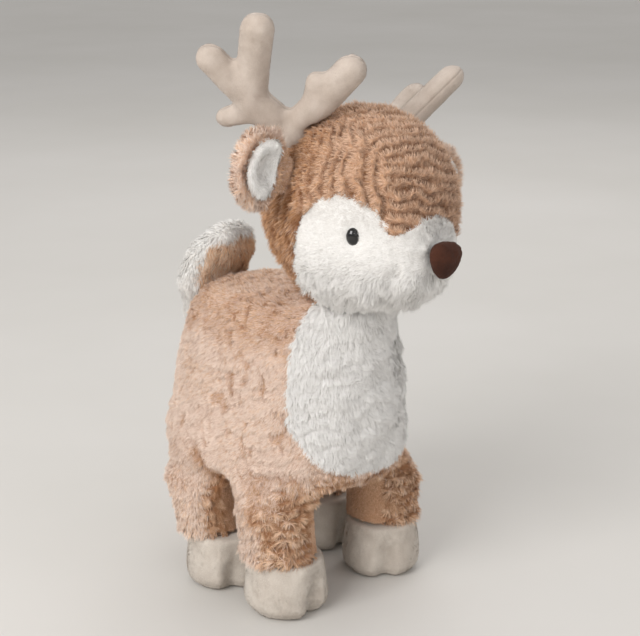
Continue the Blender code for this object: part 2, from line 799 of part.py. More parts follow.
def nose_form(name, frame):
    """The padded nose: a rounded triangle, wider at its top."""
    rings = [[Vector((-NOSE_THICKNESS, 0.0, 0.0))]]
    for depth, share in ((-0.3, 0.8), (0.15, 1.0), (0.55, 0.86), (0.85, 0.55)):
        ring = []
        for j in range(18):
            angle = math.tau * j / 18
            shape = 1.0 + 0.10 * math.sin(3.0 * angle)
            across = share * shape * NOSE_WIDTH / 2.0 * math.cos(angle)
            up = share * shape * NOSE_HEIGHT / 2.0 * math.sin(angle)
            ring.append(Vector((depth * NOSE_THICKNESS, across, up)))
        rings.append(ring)
    rings.append([Vector((NOSE_THICKNESS, 0.0, 0.0))])
    item = loft(name, rings)
    item.data.transform(frame)
    return item


def nose_frame():
    """The nose's frame: X straight out of the muzzle, Z up."""
    seat = Vector((0.0, -head_reach(0.0, -NOSE_DROP), -NOSE_DROP))
    turn = Matrix.Rotation(math.radians(-90.0), 4, "Z")
    return head_frame() @ Matrix.Translation(seat) @ turn


def build_head():
    """The head's panels and its filling."""
    frame = head_frame()
    reach = HEAD_RADIUS * 2.0
    form = head_form("form")
    inner = head_form("inner", PLUSH_THICKNESS)
    filling = head_form("head_filling", PLUSH_THICKNESS + SEAM_GAP)
    outline = [(-forward * HEAD_RADIUS, up * HEAD_RADIUS) for forward, up in FACE_OUTLINE_SHARES]
    white_side = prism("white_side", outline, reach, frame)
    tan_cut = grown(white_side, "tan_cut", SEAM_GAP)
    bridge_top = NOSE_BRIDGE_TOP_SHARE * HEAD_RADIUS
    white_front = box("white_front", (-reach, -reach, -reach), (reach, 0.0, bridge_top), frame)
    gusset_cut = grown(white_front, "gusset_cut", SEAM_GAP)
    edge = GUSSET_WIDTH / 2.0
    band = box("band", (-edge, -reach, -reach), (edge, reach, reach), frame)
    pieces = [
        panel("head_gusset", form, inner, [band], [gusset_cut]),
        panel("muzzle_strip", form, inner, [band, white_front], []),
    ]
    dress(pieces[0], HEAD_TAN, 0.95)
    dress(pieces[1], WHITE, 0.95)
    for side, sign in SIDES.items():
        edges = sorted((sign * (edge + SEAM_GAP), sign * reach))
        half = box("half", (edges[0], -reach, -reach), (edges[1], reach, reach), frame)
        pieces.append(panel(f"head_side_{side}", form, inner, [half], [tan_cut]))
        dress(pieces[-1], HEAD_TAN, 0.95)
        pieces.append(panel(f"face_{side}", form, inner, [half, white_side], []))
        dress(pieces[-1], WHITE, 0.95)
        discard(half)
    discard(form, inner, white_side, tan_cut, white_front, gusset_cut, band)
    pieces.append(filling)
    dress(filling, FILLING, 0.9)
    return pieces


def build_face_trim(pieces):
    """The nose and the eyes, with the eyes' shanks and washers."""
    trim = []
    seat = head_form("seat", -SEAM_GAP)
    nose = nose_form("nose", nose_frame())
    cut(nose, seat)
    dress(nose, NOSE_BROWN, 0.6)
    trim.append(nose)
    depth = PLUSH_THICKNESS + EYE_WASHER_SINK
    for side in SIDES:
        frame = eye_frame(side)
        eye = spheroid(f"eye_{side}", EYE_RADIUS * EYE_DOME_SHARE, EYE_RADIUS, frame)
        cut(eye, seat)
        shank_end = -depth - EYE_WASHER_THICKNESS * 2.5
        shank = rod("shank", EYE_SHANK_RADIUS, shank_end, EYE_RADIUS * 0.4, frame)
        boolean(eye, shank, "UNION")
        washer_in = -depth - SEAM_GAP - EYE_WASHER_THICKNESS
        washer = rod(f"eye_washer_{side}", EYE_WASHER_RADIUS, washer_in, -depth - SEAM_GAP, frame)
        bore = rod("bore", EYE_SHANK_RADIUS + SEAM_GAP, shank_end - SEAM_GAP, EYE_RADIUS, frame)
        pocket = rod("pocket", EYE_WASHER_RADIUS + SEAM_GAP, washer_in - SEAM_GAP, 0.0, frame)
        cut(washer, bore)
        for piece in pieces:
            if piece.name == f"face_{side}":
                cut(piece, bore)
            if piece.name == "head_filling":
                cut(piece, bore, pocket)
        dress(eye, EYE_BLACK, 0.08)
        dress(washer, EYE_BLACK, 0.5)
        discard(shank, bore, pocket)
        trim.extend((eye, washer))
    discard(seat)
    return trim


def build_torso():
    """The body's panels and its filling."""
    reach = TORSO_WIDTH + RUMP_REACH + BACK_HEIGHT
    form = torso_form("form")
    inner = torso_form("inner", PLUSH_THICKNESS)
    filling = torso_form("torso_filling", PLUSH_THICKNESS + SEAM_GAP)
    corner = BIB_CORNER_RADIUS
    half = BIB_WIDTH / 2.0
    arc = [math.pi / 2.0 * k / 6 for k in range(7)]
    bottom = [(half - corner * (1 - math.sin(t)), BIB_BOTTOM + corner * (1 - math.cos(t))) for t in arc]
    outline = [(half, reach)] + bottom[::-1] + [(-x, z) for x, z in bottom] + [(-half, reach)]
    bib_shape = bib_prism("bib_shape", outline, BIB_EDGE_Y)
    bib_cut = grown(bib_shape, "bib_cut", SEAM_GAP)
    edge = BELLY_PANEL_WIDTH / 2.0
    belly_box = box("belly_box", (-edge, -reach, 0.0), (edge, reach, BELLY_HEIGHT + BELLY_PANEL_RISE))
    belly_cut = grown(belly_box, "belly_cut", SEAM_GAP)
    pieces = [
        panel("chest_bib", form, inner, [bib_shape], [belly_cut]),
        panel("belly_panel", form, inner, [belly_box], []),
        filling,
    ]
    dress(pieces[0], WHITE, 0.95)
    dress(pieces[1], SHORT_TAN, 0.9)
    dress(filling, FILLING, 0.9)
    for side, sign in SIDES.items():
        edges = sorted((sign * SEAM_GAP / 2.0, sign * reach))
        side_half = box("side_half", (edges[0], -reach, -reach), (edges[1], reach, reach))
        pieces.append(panel(f"torso_side_{side}", form, inner, [side_half], [bib_cut, belly_cut]))
        dress(pieces[-1], TAN, 0.95)
        discard(side_half)
    discard(form, inner, bib_shape, bib_cut, belly_box, belly_cut)
    return pieces


def bib_prism(name, outline, edge_y):
    """A cutter along Y with an outline of X and Z points, from the bib's edge forward."""
    front = edge_y - CHEST_REACH * 2.0
    rings = [[Vector((x, y, z)) for x, z in outline] for y in (front, edge_y)]
    return loft(name, rings)


def set_origin(item, point):
    """Puts an object's origin on a point of its hinge."""
    item.data.transform(Matrix.Translation(-Vector(point)))
    item.location = point


def centre_outline():
    """Moves every piece so that the middle of the deer's outline stands over the origin."""
    pieces = [item for item in bpy.data.objects if item.type == "MESH"]
    corners = [item.location + vertex.co for item in pieces for vertex in item.data.vertices]
    lows = [min(corner[k] for corner in corners) for k in range(2)]
    highs = [max(corner[k] for corner in corners) for k in range(2)]
    middle = Vector([(low + high) / 2.0 for low, high in zip(lows, highs)] + [0.0])
    for item in pieces:
        item.location = item.location - middle


def main():
    """Builds every piece, cuts the seats of the joints and sets the origins."""
    clear_scene()
    torso = build_torso()
    far = HEAD_RADIUS * 4.0
    above_neck = box("above_neck", (-far, -far, NECK_HEIGHT), (far, far, far + NECK_HEIGHT))
    sockets = [hip_ball(f"socket_{leg}", hip, JOINT_CLEARANCE) for leg, hip in hips().items()]
    sockets.append(tail_root("socket_tail", JOINT_CLEARANCE))
    for piece in torso:
        cut(piece, above_neck, *sockets)
    discard(above_neck, *sockets)

    head = build_head()
    trim = build_face_trim(head)
    below_neck = box("below_neck", (-far, -far, 0.0), (far, far, NECK_HEIGHT + SEAM_GAP))
    roots = []
    for side in SIDES:
        roots.append(ear_root(f"ear_socket_{side}", side, JOINT_CLEARANCE))
        roots.append(antler_root(f"antler_socket_{side}", side, JOINT_CLEARANCE))
    for piece in head:
        cut(piece, below_neck, *roots)
    discard(below_neck, *roots)
    for piece in head + trim:
        set_origin(piece, (0.0, NECK_Y, NECK_HEIGHT))

    for side in SIDES:
        for piece in build_ear(side):
            set_origin(piece, ear_frame(side).translation)
        for piece in build_antler(side):
            set_origin(piece, antler_frame(side).translation)
    for piece in build_tail():
        set_origin(piece, tail_seat())
    for leg, hip in hips().items():
        for piece in build_leg(leg) + [build_hoof(leg)]:
            set_origin(piece, hip)
    centre_outline()


main()
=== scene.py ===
"""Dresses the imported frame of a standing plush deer: stuffed covers, combed pile, seams, eyes and light.

Lengths are in metres. Colours are written as they look on a screen, from 0 to 255. The deer faces -Y and its
left side is +X. The sewing frame is the deer before its outline was centred, with its midline at X = 0.
"""

import json
import logging
import math
from collections.abc import Callable
from dataclasses import dataclass, field
from enum import Enum, IntEnum
from itertools import product

import bmesh
import bpy
import numpy as np
from mathutils import Matrix, Vector

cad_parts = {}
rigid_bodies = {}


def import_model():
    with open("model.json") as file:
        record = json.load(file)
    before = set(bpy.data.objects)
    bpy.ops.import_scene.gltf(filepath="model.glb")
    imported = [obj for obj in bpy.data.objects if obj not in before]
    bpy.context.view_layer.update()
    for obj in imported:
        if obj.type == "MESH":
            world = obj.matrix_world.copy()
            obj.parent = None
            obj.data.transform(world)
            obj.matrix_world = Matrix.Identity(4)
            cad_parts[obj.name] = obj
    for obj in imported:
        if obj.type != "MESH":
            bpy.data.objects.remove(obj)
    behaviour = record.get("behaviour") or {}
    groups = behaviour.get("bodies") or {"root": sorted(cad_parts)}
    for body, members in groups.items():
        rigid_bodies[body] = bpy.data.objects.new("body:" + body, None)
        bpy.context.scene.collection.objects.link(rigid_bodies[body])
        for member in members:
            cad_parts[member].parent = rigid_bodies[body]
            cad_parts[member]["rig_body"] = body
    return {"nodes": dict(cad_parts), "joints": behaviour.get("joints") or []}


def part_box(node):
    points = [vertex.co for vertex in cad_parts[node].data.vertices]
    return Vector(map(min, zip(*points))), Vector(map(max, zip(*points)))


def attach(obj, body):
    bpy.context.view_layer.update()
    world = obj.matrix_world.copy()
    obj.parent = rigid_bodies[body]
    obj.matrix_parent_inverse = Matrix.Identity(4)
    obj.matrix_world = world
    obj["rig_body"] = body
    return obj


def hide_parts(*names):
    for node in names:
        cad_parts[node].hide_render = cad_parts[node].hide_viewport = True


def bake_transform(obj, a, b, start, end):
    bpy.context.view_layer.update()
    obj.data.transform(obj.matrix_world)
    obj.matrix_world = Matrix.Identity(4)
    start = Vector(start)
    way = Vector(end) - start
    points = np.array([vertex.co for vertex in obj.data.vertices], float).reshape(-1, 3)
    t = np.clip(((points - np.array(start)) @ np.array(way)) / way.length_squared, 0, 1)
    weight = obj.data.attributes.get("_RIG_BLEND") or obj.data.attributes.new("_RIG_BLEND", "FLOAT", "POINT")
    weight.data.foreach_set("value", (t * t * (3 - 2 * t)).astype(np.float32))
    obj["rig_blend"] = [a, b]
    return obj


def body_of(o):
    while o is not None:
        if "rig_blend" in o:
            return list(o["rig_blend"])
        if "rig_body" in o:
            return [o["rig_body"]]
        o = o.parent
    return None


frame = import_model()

LOG = logging.getLogger("plush_deer")
Array = np.ndarray
Colour = tuple[int, int, int]
Item = bpy.types.Object
Socket = bpy.types.NodeSocket
JOINTS = {joint["name"]: joint for joint in frame["joints"]}
NECK_JOINT = Vector(JOINTS["head_turn"]["pos_m"])
NECK_Y = -0.0395
# No length on the deer comes near this.
FAR = 9.0
SETTLING_FRAMES = 12
ROOT_DEPTH = 0.0004
FILLING_DEPTH = 0.0012
MOST_FIBRES = 65000
SEWING_ORIGIN = Vector((NECK_JOINT.x, NECK_JOINT.y - NECK_Y, 0.0))


class Side(Enum):
    """A side of the deer, with the sign of its X."""

    LEFT = 1.0
    RIGHT = -1.0

    @property
    def word(self) -> str:
        """The side as it stands in piece names."""
        return self.name.lower()


class Leg(Enum):
    """A leg, with the twist of its foot in degrees."""

    FRONT_LEFT = -38.0
    FRONT_RIGHT = 4.0
    HIND_LEFT = 0.0
    HIND_RIGHT = -30.0

    @property
    def word(self) -> str:
        """The leg as it stands in piece names."""
        return self.name.lower()

    @property
    def side(self) -> Side:
        """The side of the deer that the leg is on."""
        return Side.LEFT if self.name.endswith("LEFT") else Side.RIGHT

    @property
    def front(self) -> bool:
        """Whether it is a front leg."""
        return self.name.startswith("FRONT")

    @property
    def hip(self) -> Vector:
        """The middle of the hip joint."""
        return Vector(JOINTS[f"leg_bend_{self.word}"]["pos_m"])


class Zone(IntEnum):
    """The cloth at a place of the body or a leg."""

    SIDE = 0
    BIB = 1
    BELLY = 2
    OUTER_LEG = 3
    INNER_LEG = 4


class HeadZone(IntEnum):
    """The panel at a place of the head."""

    GUSSET = 0
    MUZZLE = 1
    SIDE = 2
    FACE = 3


# Numbers that belong to places


def lattice(cells: Array, seed: int) -> Array:
    """Draws a number from 0 to 1 for each whole-number place.

    Args:
        cells: Places, in rows of three.
        seed: Which set of numbers.

    Returns:
        One number for each row.
    """
    c = cells.astype(np.int64)
    h = (c[..., 0] * 73856093) ^ (c[..., 1] * 19349663) ^ (c[..., 2] * 83492791) ^ (seed * 374761393)
    h = ((h ^ (h >> 13)) & 0xFFFFFFFF) * 1274126177 & 0xFFFFFFFF
    h = (h ^ (h >> 16)) * 1103515245 & 0xFFFFFFFF
    return (h ^ (h >> 13)) / 0xFFFFFFFF


def ripple(points: Array, size: float, seed: int) -> Array:
    """Smooth unevenness of a given size.

    Args:
        points: Places, in rows of three.
        size: Distance between its hills.
        seed: Which pattern.

    Returns:
        A number from -1 to 1 for each place.
    """
    q = points / size
    base = np.floor(q)
    f = q - base
    f = f * f * (3.0 - 2.0 * f)
    total = np.zeros(len(points))
    for corner in product((0, 1), repeat=3):
        x, y, z = (f[:, k] if corner[k] else 1 - f[:, k] for k in range(3))
        total += x * y * z * lattice(base + corner, seed)
    return total * 2.0 - 1.0


def swirl(points: Array, size: float, seed: int) -> Array:
    """A direction that wanders: one ripple along each axis, from three seeds in a row."""
    return np.stack([ripple(points, size, seed + k) for k in range(3)], axis=1)


@dataclass
class Tufts:
    """The tuft that each place belongs to: its middle, its own whole-number place and how far off it is."""

    middle: Array
    cell: Array
    distance: Array
    edge: Array


def tufts_at(points: Array, size: float, seed: int) -> Tufts:
    """Finds the tuft of each place.

    Args:
        points: Places, in rows of three.
        size: Distance between tufts.
        seed: Which set of tufts.

    Returns:
        The tufts, with distance in metres and edge from 0 at a border to about 1 in a middle.
    """
    q = points / size
    base = np.floor(q)
    near, second = np.full(len(points), FAR), np.full(len(points), FAR)
    middle, cell = np.zeros_like(points), np.zeros_like(points)
    for offset in product((-1, 0, 1), repeat=3):
        at = base + offset
        spot = at + np.stack([lattice(at, seed + k) for k in range(3)], axis=1) * 0.86 + 0.07
        d = np.linalg.norm(spot - q, axis=1)
        closer = d < near
        second = np.where(closer, near, np.minimum(second, d))
        near = np.where(closer, d, near)
        middle[closer] = spot[closer]
        cell[closer] = at[closer]
    return Tufts(middle * size, cell, near * size, np.clip(second - near, 0.0, 1.0))


def step(low: float, high: float, value: Array) -> Array:
    """Rises smoothly from 0 at low to 1 at high."""
    t = np.clip((value - low) / (high - low), 0.0, 1.0)
    return t * t * (3.0 - 2.0 * t)


def unit(rows: Array) -> Array:
    """Rows of three brought to length 1."""
    return rows / np.maximum(np.linalg.norm(rows, axis=-1, keepdims=True), 1e-9)


def inside(outline: list[tuple[float, float]], x: Array, y: Array) -> Array:
    """Whether places lie inside a closed outline.

    Args:
        outline: Corners in order.
        x: First coordinates of the places.
        y: Second coordinates of the places.

    Returns:
        True for each place inside.
    """
    found = np.zeros(len(x), bool)
    for (x1, y1), (x2, y2) in zip(outline, outline[1:] + outline[:1]):
        if y1 == y2:
            continue
        crosses = (y1 > y) != (y2 > y)
        found ^= crosses & (x < (x2 - x1) * (y - y1) / (y2 - y1) + x1)
    return found


# Frames of the sewn parts


def along(x: Vector, y: Vector, z: Vector) -> Matrix:
    """The turn that lays X, Y and Z along three directions."""
    return Matrix((x, y, z)).transposed().to_4x4()


@dataclass(frozen=True)
class Place:
    """A frame set in the deer: rows of points go into it and back out."""

    matrix: Matrix

    def local(self, points: Array) -> Array:
        """Points seen from the frame."""
        m = np.array(self.matrix.inverted())
        return points @ m[:3, :3].T + m[:3, 3]

    def world(self, points: Array) -> Array:
        """Points of the frame seen from the deer."""
        m = np.array(self.matrix)
        return points @ m[:3, :3].T + m[:3, 3]

    def turned(self, ways: Array) -> Array:
        """Directions of the frame seen from the deer."""
        return ways @ np.array(self.matrix)[:3, :3].T

    def axis(self, index: int) -> Array:
        """One axis of the frame as seen from the deer."""
        return np.array(self.matrix.col[index][:3])


@dataclass(frozen=True)
class HeadFrame:
    """Where things sit on the head. Azimuth 0 is forward and 90 is out to the side."""

    radius: float = 0.0558
    forward: float = 0.0085
    rise: float = 0.0545
    tilt: float = 11.0
    ear_root: float = 0.0044

    @property
    def place(self) -> Place:
        """The head's own frame."""
        centre = NECK_JOINT + Vector((0.0, -self.forward, self.rise))
        return Place(Matrix.Translation(centre) @ Matrix.Rotation(math.radians(self.tilt), 4, "Y"))

    def toward(self, azimuth: float, rise: float) -> Vector:
        """A direction from the head's middle, in its own frame."""
        a, r = math.radians(azimuth), math.radians(rise)
        return Vector((math.cos(r) * math.sin(a), -math.cos(r) * math.cos(a), math.sin(r)))

    def ear(self, side: Side) -> Place:
        """An ear's frame: X along its hinge, Z out along it, Y behind it."""
        seat = self.toward(side.value * 97.0, 12.0) * (self.radius + self.ear_root * 0.2)
        out, face = self.toward(side.value * 95.0, 9.0), self.toward(side.value * 35.0, 5.0)
        back = -(face - out * face.dot(out)).normalized()
        return Place(self.place.matrix @ Matrix.Translation(seat) @ along(back.cross(out), back, out))

    def antler(self, side: Side) -> Place:
        """An antler's frame: X out and back in its plane, Y through it, Z up it."""
        swing, lean, droop = (38.0, 39.0, 38.0) if side is Side.LEFT else (42.0, 34.0, 0.0)
        seat = self.toward(side.value * 122.0, 37.0) * self.radius
        s, tip = math.radians(swing), math.radians(lean)
        out = Vector((side.value * math.sin(s), math.cos(s), 0.0))
        face = Vector((side.value * math.cos(s), -math.sin(s), 0.0))
        rise = math.cos(tip) * Vector((0.0, 0.0, 1.0)) + math.sin(tip) * face
        hang = Matrix.Rotation(math.radians(droop), 4, "Y")
        return Place(self.place.matrix @ Matrix.Translation(seat) @ along(out, rise.cross(out), rise) @ hang)


HEAD = HeadFrame()


def box_of(node: str) -> tuple[Array, Array]:
    """The middle and the half size of a solid's box."""
    low, high = (np.array(corner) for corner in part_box(node))
    return (low + high) / 2, (high - low) / 2


def sewing(points: Array) -> Array:
    """Points in the sewing frame, with the deer's midline at X = 0."""
    return points - np.array(SEWING_ORIGIN)


# Finishes


def tone(red: float, green: float, blue: float) -> tuple[float, float, float, float]:
    """A screen colour as the light it stands for."""
    parts = [c / 255.0 for c in (red, green, blue)]
    return (*[c / 12.92 if c <= 0.04045 else ((c + 0.055) / 1.055) ** 2.4 for c in parts], 1.0)


def mixed(first: tuple, second: tuple, share: float) -> tuple:
    """A colour between two."""
    return tuple(a + (b - a) * share for a, b in zip(first, second))


class Nodes:
    """A new material and a short way to add and join its nodes."""

    def __init__(self, name: str, rough: float, sheen: float = 0.0) -> None:
        """Starts the material.

        Args:
            name: The material's name.
            rough: Its roughness.
            sheen: How much light its fuzz catches at the edges.
        """
        self.material = bpy.data.materials.new(name)
        self.material.use_nodes = True
        self.tree = self.material.node_tree
        self.shader = self.tree.nodes["Principled BSDF"]
        self.set("Roughness", rough)
        self.set("Sheen Weight", sheen)
        self.set("Sheen Roughness", 0.45)
        self.set("Specular IOR Level", 0.25)

    def set(self, socket: str, value: object) -> None:
        """Sets one of the shader's own sockets."""
        self.shader.inputs[socket].default_value = value

    def add(self, kind: str, **values: object) -> bpy.types.Node:
        """Adds a node.

        Args:
            kind: The node's type, without its prefix.
            **values: Its settings by name, or its inputs by name with _ for a space.

        Returns:
            The node.
        """
        node = self.tree.nodes.new("ShaderNode" + kind)
        for key, value in values.items():
            if hasattr(node, key):
                setattr(node, key, value)
            else:
                node.inputs[key.replace("_", " ")].default_value = value
        return node

    def join(self, source: Socket, target: Socket) -> None:
        """Joins two sockets."""
        self.tree.links.new(source, target)

    def drive(self, socket: str, source: Socket) -> None:
        """Lets a value drive one of the shader's own sockets."""
        self.join(source, self.shader.inputs[socket])

    def noise(
        self, scale: float, detail: float = 3.0, rough: float = 0.55, stretch: tuple = (1, 1, 1)
    ) -> Socket:
        """Adds a noise in the deer's own space.

        Args:
            scale: Its scale, per metre.
            detail: Its octaves.
            rough: Its roughness.
            stretch: Its scale along each axis.

        Returns:
            The noise's value.
        """
        place = self.add("TexCoord")
        fit = self.add("Mapping", Scale=stretch)
        self.join(place.outputs["Object"], fit.inputs["Vector"])
        found = self.add("TexNoise", Scale=scale, Detail=detail, Roughness=rough)
        self.join(fit.outputs["Vector"], found.inputs["Vector"])
        return found.outputs["Fac"]

    def ramp(self, source: Socket, *stops: tuple) -> Socket:
        """Adds a colour ramp.

        Args:
            source: What drives it.
            *stops: Place and colour of each stop.

        Returns:
            Its colour.
        """
        node = self.add("ValToRGB")
        marks = node.color_ramp.elements
        while len(marks) < len(stops):
            marks.new(0.5)
        for mark, (at, colour) in zip(marks, stops):
            mark.position, mark.color = at, colour
        self.join(source, node.inputs["Fac"])
        return node.outputs["Color"]

    def spread(self, source: Socket, low: float, high: float) -> Socket:
        """Maps a value from 0.3..0.7 to low..high."""
        node = self.add("MapRange", From_Min=0.3, From_Max=0.7, To_Min=low, To_Max=high)
        self.join(source, node.inputs["Value"])
        return node.outputs["Result"]

    def bump(self, source: Socket, strength: float, depth: float) -> None:
        """Raises the surface by a value, depth metres high."""
        node = self.add("Bump", Strength=strength, Distance=depth)
        self.join(source, node.inputs["Height"])
        self.drive("Normal", node.outputs["Normal"])

    def mark(self, name: str) -> Socket:
        """Reads a number that a cover's mesh holds, such as how near a seam is."""
        return self.add("Attribute", attribute_name=name).outputs["Fac"]


class Finish:
    """A finish that is made when it is first asked for, and found by its name after that."""

    name: str

    def made(self) -> Nodes:
        """Makes the material with its nodes."""
        raise NotImplementedError

    def material(self) -> bpy.types.Material:
        """The finish's material."""
        return bpy.data.materials.get(self.name) or self.made().material


@dataclass(frozen=True)
class FibreFinish(Finish):
    """Fibres of one dye, a little uneven in their gloss."""

    name: str
    colour: tuple
    rough: float
    sheen: float

    def made(self) -> Nodes:
        """See Finish.made."""
        nodes = Nodes(self.name, self.rough, self.sheen)
        nodes.set("Base Color", self.colour)
        nodes.set("Sheen Tint", mixed(self.colour, (1, 1, 1, 1), 0.5))
        nodes.drive("Roughness", nodes.spread(nodes.noise(900.0, 2.0), self.rough - 0.12, self.rough + 0.12))
        return nodes


@dataclass(frozen=True)
class PileFinish:
    """The dyed fibres of one plush: shades from its dark roots to its light tips, plain and warmer. The looks
    also pick its darker shades to paint shade into hollows, creases and valleys.
    """

    name: str
    slot: str
    dark: Colour
    light: Colour
    warm_dark: Colour
    warm_light: Colour
    steps: int = 6
    rough: float = 0.75
    sheen: float = 0.25

    def materials(self) -> list[bpy.types.Material]:
        """The shades' materials, plain ones first."""
        found = []
        plain, warm = ("plain", self.dark, self.light), ("warm", self.warm_dark, self.warm_light)
        for kind, dark, light in (plain, warm):
            for k in range(self.steps):
                name = f"{self.name}_{kind}_{k + 1}"
                colour = mixed(tone(*dark), tone(*light), (k / (self.steps - 1)) ** 1.25)
                found.append(FibreFinish(name, colour, self.rough, self.sheen).material())
        return found


@dataclass(frozen=True)
class BackingFinish(Finish):
    """The cloth under a pile, dyed like its roots, with painted shade that darkens it in the pile's valleys.
    """

    name: str
    valley: Colour
    crest: Colour

    def made(self) -> Nodes:
        """See Finish.made."""
        nodes = Nodes(self.name, 0.9, 0.2)
        level = nodes.add("Math", operation="ADD", use_clamp=True)
        nodes.join(nodes.mark("crest"), level.inputs[0])
        nodes.join(nodes.spread(nodes.noise(420.0, 4.0, 0.7), -0.22, 0.22), level.inputs[1])
        # Painted shade: the valley colour goes where the crest mark is low, the crest colour where it is
        # high.
        stops = (0.1, tone(*self.valley)), (0.9, tone(*self.crest))
        nodes.drive("Base Color", nodes.ramp(level.outputs[0], *stops))
        nodes.bump(nodes.noise(1500.0, 3.0, 0.8), 0.6, 0.0008)
        return nodes


@dataclass(frozen=True)
class VelboaFinish(Finish):
    """A short, dense pile: faint mottling where it is brushed, a fine nap and darker seams."""

    name: str
    light: Colour
    dark: Colour
    seam: Colour
    sheen: float

    def made(self) -> Nodes:
        """See Finish.made."""
        nodes = Nodes(self.name, 0.85, self.sheen)
        broad = nodes.noise(70.0, 4.0, 0.6)
        fine = nodes.noise(1600.0, 3.0, 0.7)
        level = nodes.add("Math", operation="MULTIPLY_ADD")
        level.inputs[1].default_value = 0.45
        nodes.join(fine, level.inputs[0])
        nodes.join(nodes.spread(broad, 0.05, 0.55), level.inputs[2])
        cloth = nodes.ramp(level.outputs[0], (0.2, tone(*self.dark)), (0.75, tone(*self.light)))
        mix = nodes.add("Mix", data_type="RGBA")
        nodes.join(nodes.mark("seam"), mix.inputs[0])
        nodes.join(cloth, mix.inputs[6])
        mix.inputs[7].default_value = tone(*self.seam)
        nodes.drive("Base Color", mix.outputs[2])
        nodes.drive("Roughness", nodes.spread(fine, 0.78, 0.95))
        nodes.bump(fine, 0.55, 0.0006)
        return nodes


@dataclass(frozen=True)
class FillingFinish(Finish):
    """Loose polyester fibre: off-white wisps, with painted shade that greys the hollows between them."""

    name: str
    hollow: Colour
    wisp: Colour

    def made(self) -> Nodes:
        """See Finish.made."""
        nodes = Nodes(self.name, 0.9, 0.4)
        wisps = nodes.noise(260.0, 6.0, 0.75, (1.0, 0.4, 1.0))
        # Painted shade: the noise that raises the wisps also greys their hollows.
        nodes.drive("Base Color", nodes.ramp(wisps, (0.3, tone(*self.hollow)), (0.7, tone(*self.wisp))))
        nodes.bump(wisps, 0.8, 0.002)
        return nodes


@dataclass(frozen=True)
class HardFinish(Finish):
    """Moulded plastic: a gloss or a satin, with faint moulding marks and specks."""

    name: str
    dark: Colour
    light: Colour
    rough: float
    coat: float

    def made(self) -> Nodes:
        """See Finish.made."""
        nodes = Nodes(self.name, self.rough)
        nodes.set("Specular IOR Level", 0.3 + 0.5 * self.coat)
        nodes.set("Coat Weight", self.coat)
        nodes.set("Coat Roughness", 0.03)
        marks = nodes.noise(300.0, 4.0, 0.6)
        nodes.drive("Base Color", nodes.ramp(marks, (0.3, tone(*self.dark)), (0.75, tone(*self.light))))
        nodes.drive("Roughness", nodes.spread(marks, self.rough * 0.7, self.rough * 1.5))
        return nodes


TAN_PILE = PileFinish(
    "tan_pile", "body_plush", (190, 148, 122), (242, 220, 204), (176, 126, 88), (236, 200, 168)
)
TAIL_PILE = PileFinish(
    "tail_pile", "head_plush", (190, 148, 120), (246, 222, 200), (180, 126, 84), (244, 202, 162)
)
HEAD_PILE = PileFinish(
    "head_pile", "head_plush", (150, 108, 80), (226, 190, 162), (136, 88, 54), (214, 164, 120)
)
WHITE_PILE = PileFinish(
    "white_pile", "white_plush", (220, 216, 211), (247, 245, 242), (220, 212, 203), (244, 240, 235)
)
SHORT_PILE = PileFinish(
    "short_pile", "short_pile", (198, 152, 118), (236, 198, 165), (190, 142, 108), (230, 188, 153), steps=4
)
ANTLER_PILE = PileFinish(
    "antler_nap", "antler_velboa", (177, 163, 151), (203, 190, 179), (171, 154, 140), (197, 182, 169),
    steps=3, rough=0.8, sheen=0.15,
)
HOOF_PILE = PileFinish(
    "hoof_nap", "hoof_velboa", (184, 173, 161), (216, 208, 198), (178, 165, 151), (206, 194, 181),
    steps=3, rough=0.8, sheen=0.2,
)
# The first colour of each backing is its valley colour, which carries painted shade.
TAN_BACKING = BackingFinish("tan_backing", (168, 122, 92), (226, 194, 170))
HEAD_BACKING = BackingFinish("head_backing", (128, 84, 56), (206, 164, 132))
WHITE_BACKING = BackingFinish("white_backing", (212, 208, 202), (242, 240, 237))
SHORT_BACKING = BackingFinish("short_backing", (172, 126, 94), (216, 170, 134))
ANTLER_CLOTH = VelboaFinish("antler_cloth", (204, 191, 180), (180, 165, 152), (112, 92, 80), 0.2)
HOOF_CLOTH = VelboaFinish("hoof_cloth", (214, 205, 194), (188, 176, 164), (148, 134, 120), 0.2)
NOSE_CLOTH = VelboaFinish("nose_felt", (80, 45, 31), (48, 24, 15), (26, 12, 8), 0.03)
EYE_GLOSS = HardFinish("bead_gloss", (2, 2, 3), (7, 6, 6), 0.05, 0.45)
WASHER_PLASTIC = HardFinish("washer_satin", (26, 26, 27), (44, 44, 45), 0.45, 0.0)
FIBRE_FILLING = FillingFinish("polyester_fibre", (196, 196, 192), (244, 243, 238))


# Covers


def linked(name: str, data: bpy.types.ID) -> Item:
    """A new object in the scene that shows a mesh, a light or a camera."""
    item = bpy.data.objects.new(name, data)
    bpy.context.collection.objects.link(item)
    return item


def new_object(name: str, points: Array, faces: list[Array], materials: list[bpy.types.Material]) -> Item:
    """Makes a smooth object from rows of corners.

    Args:
        name: Its name.
        points: Its corners.
        faces: Rows of corner numbers, in one array for each number of corners.
        materials: Its materials.

    Returns:
        The object.
    """
    mesh = bpy.data.meshes.new(name)
    mesh.vertices.add(len(points))
    mesh.vertices.foreach_set("co", points.astype(np.float32).ravel())
    mesh.loops.add(sum(rows.size for rows in faces))
    mesh.loops.foreach_set("vertex_index", np.concatenate([rows.ravel() for rows in faces]).astype(np.int32))
    sizes = np.concatenate([np.full(len(rows), rows.shape[1]) for rows in faces])
    mesh.polygons.add(len(sizes))
    mesh.polygons.foreach_set("loop_start", (np.cumsum(sizes) - sizes).astype(np.int32))
    mesh.update(calc_edges=True)
    for material in materials:
        mesh.materials.append(material)
    return linked(name, mesh)


def hold_normals(item: Item, normals: Array) -> None:
    """Gives an object's corners directions of their own to be lit by."""
    own = item.data.attributes.new("custom_normal", "FLOAT_VECTOR", "POINT")
    own.data.foreach_set("vector", normals.astype(np.float32).ravel())


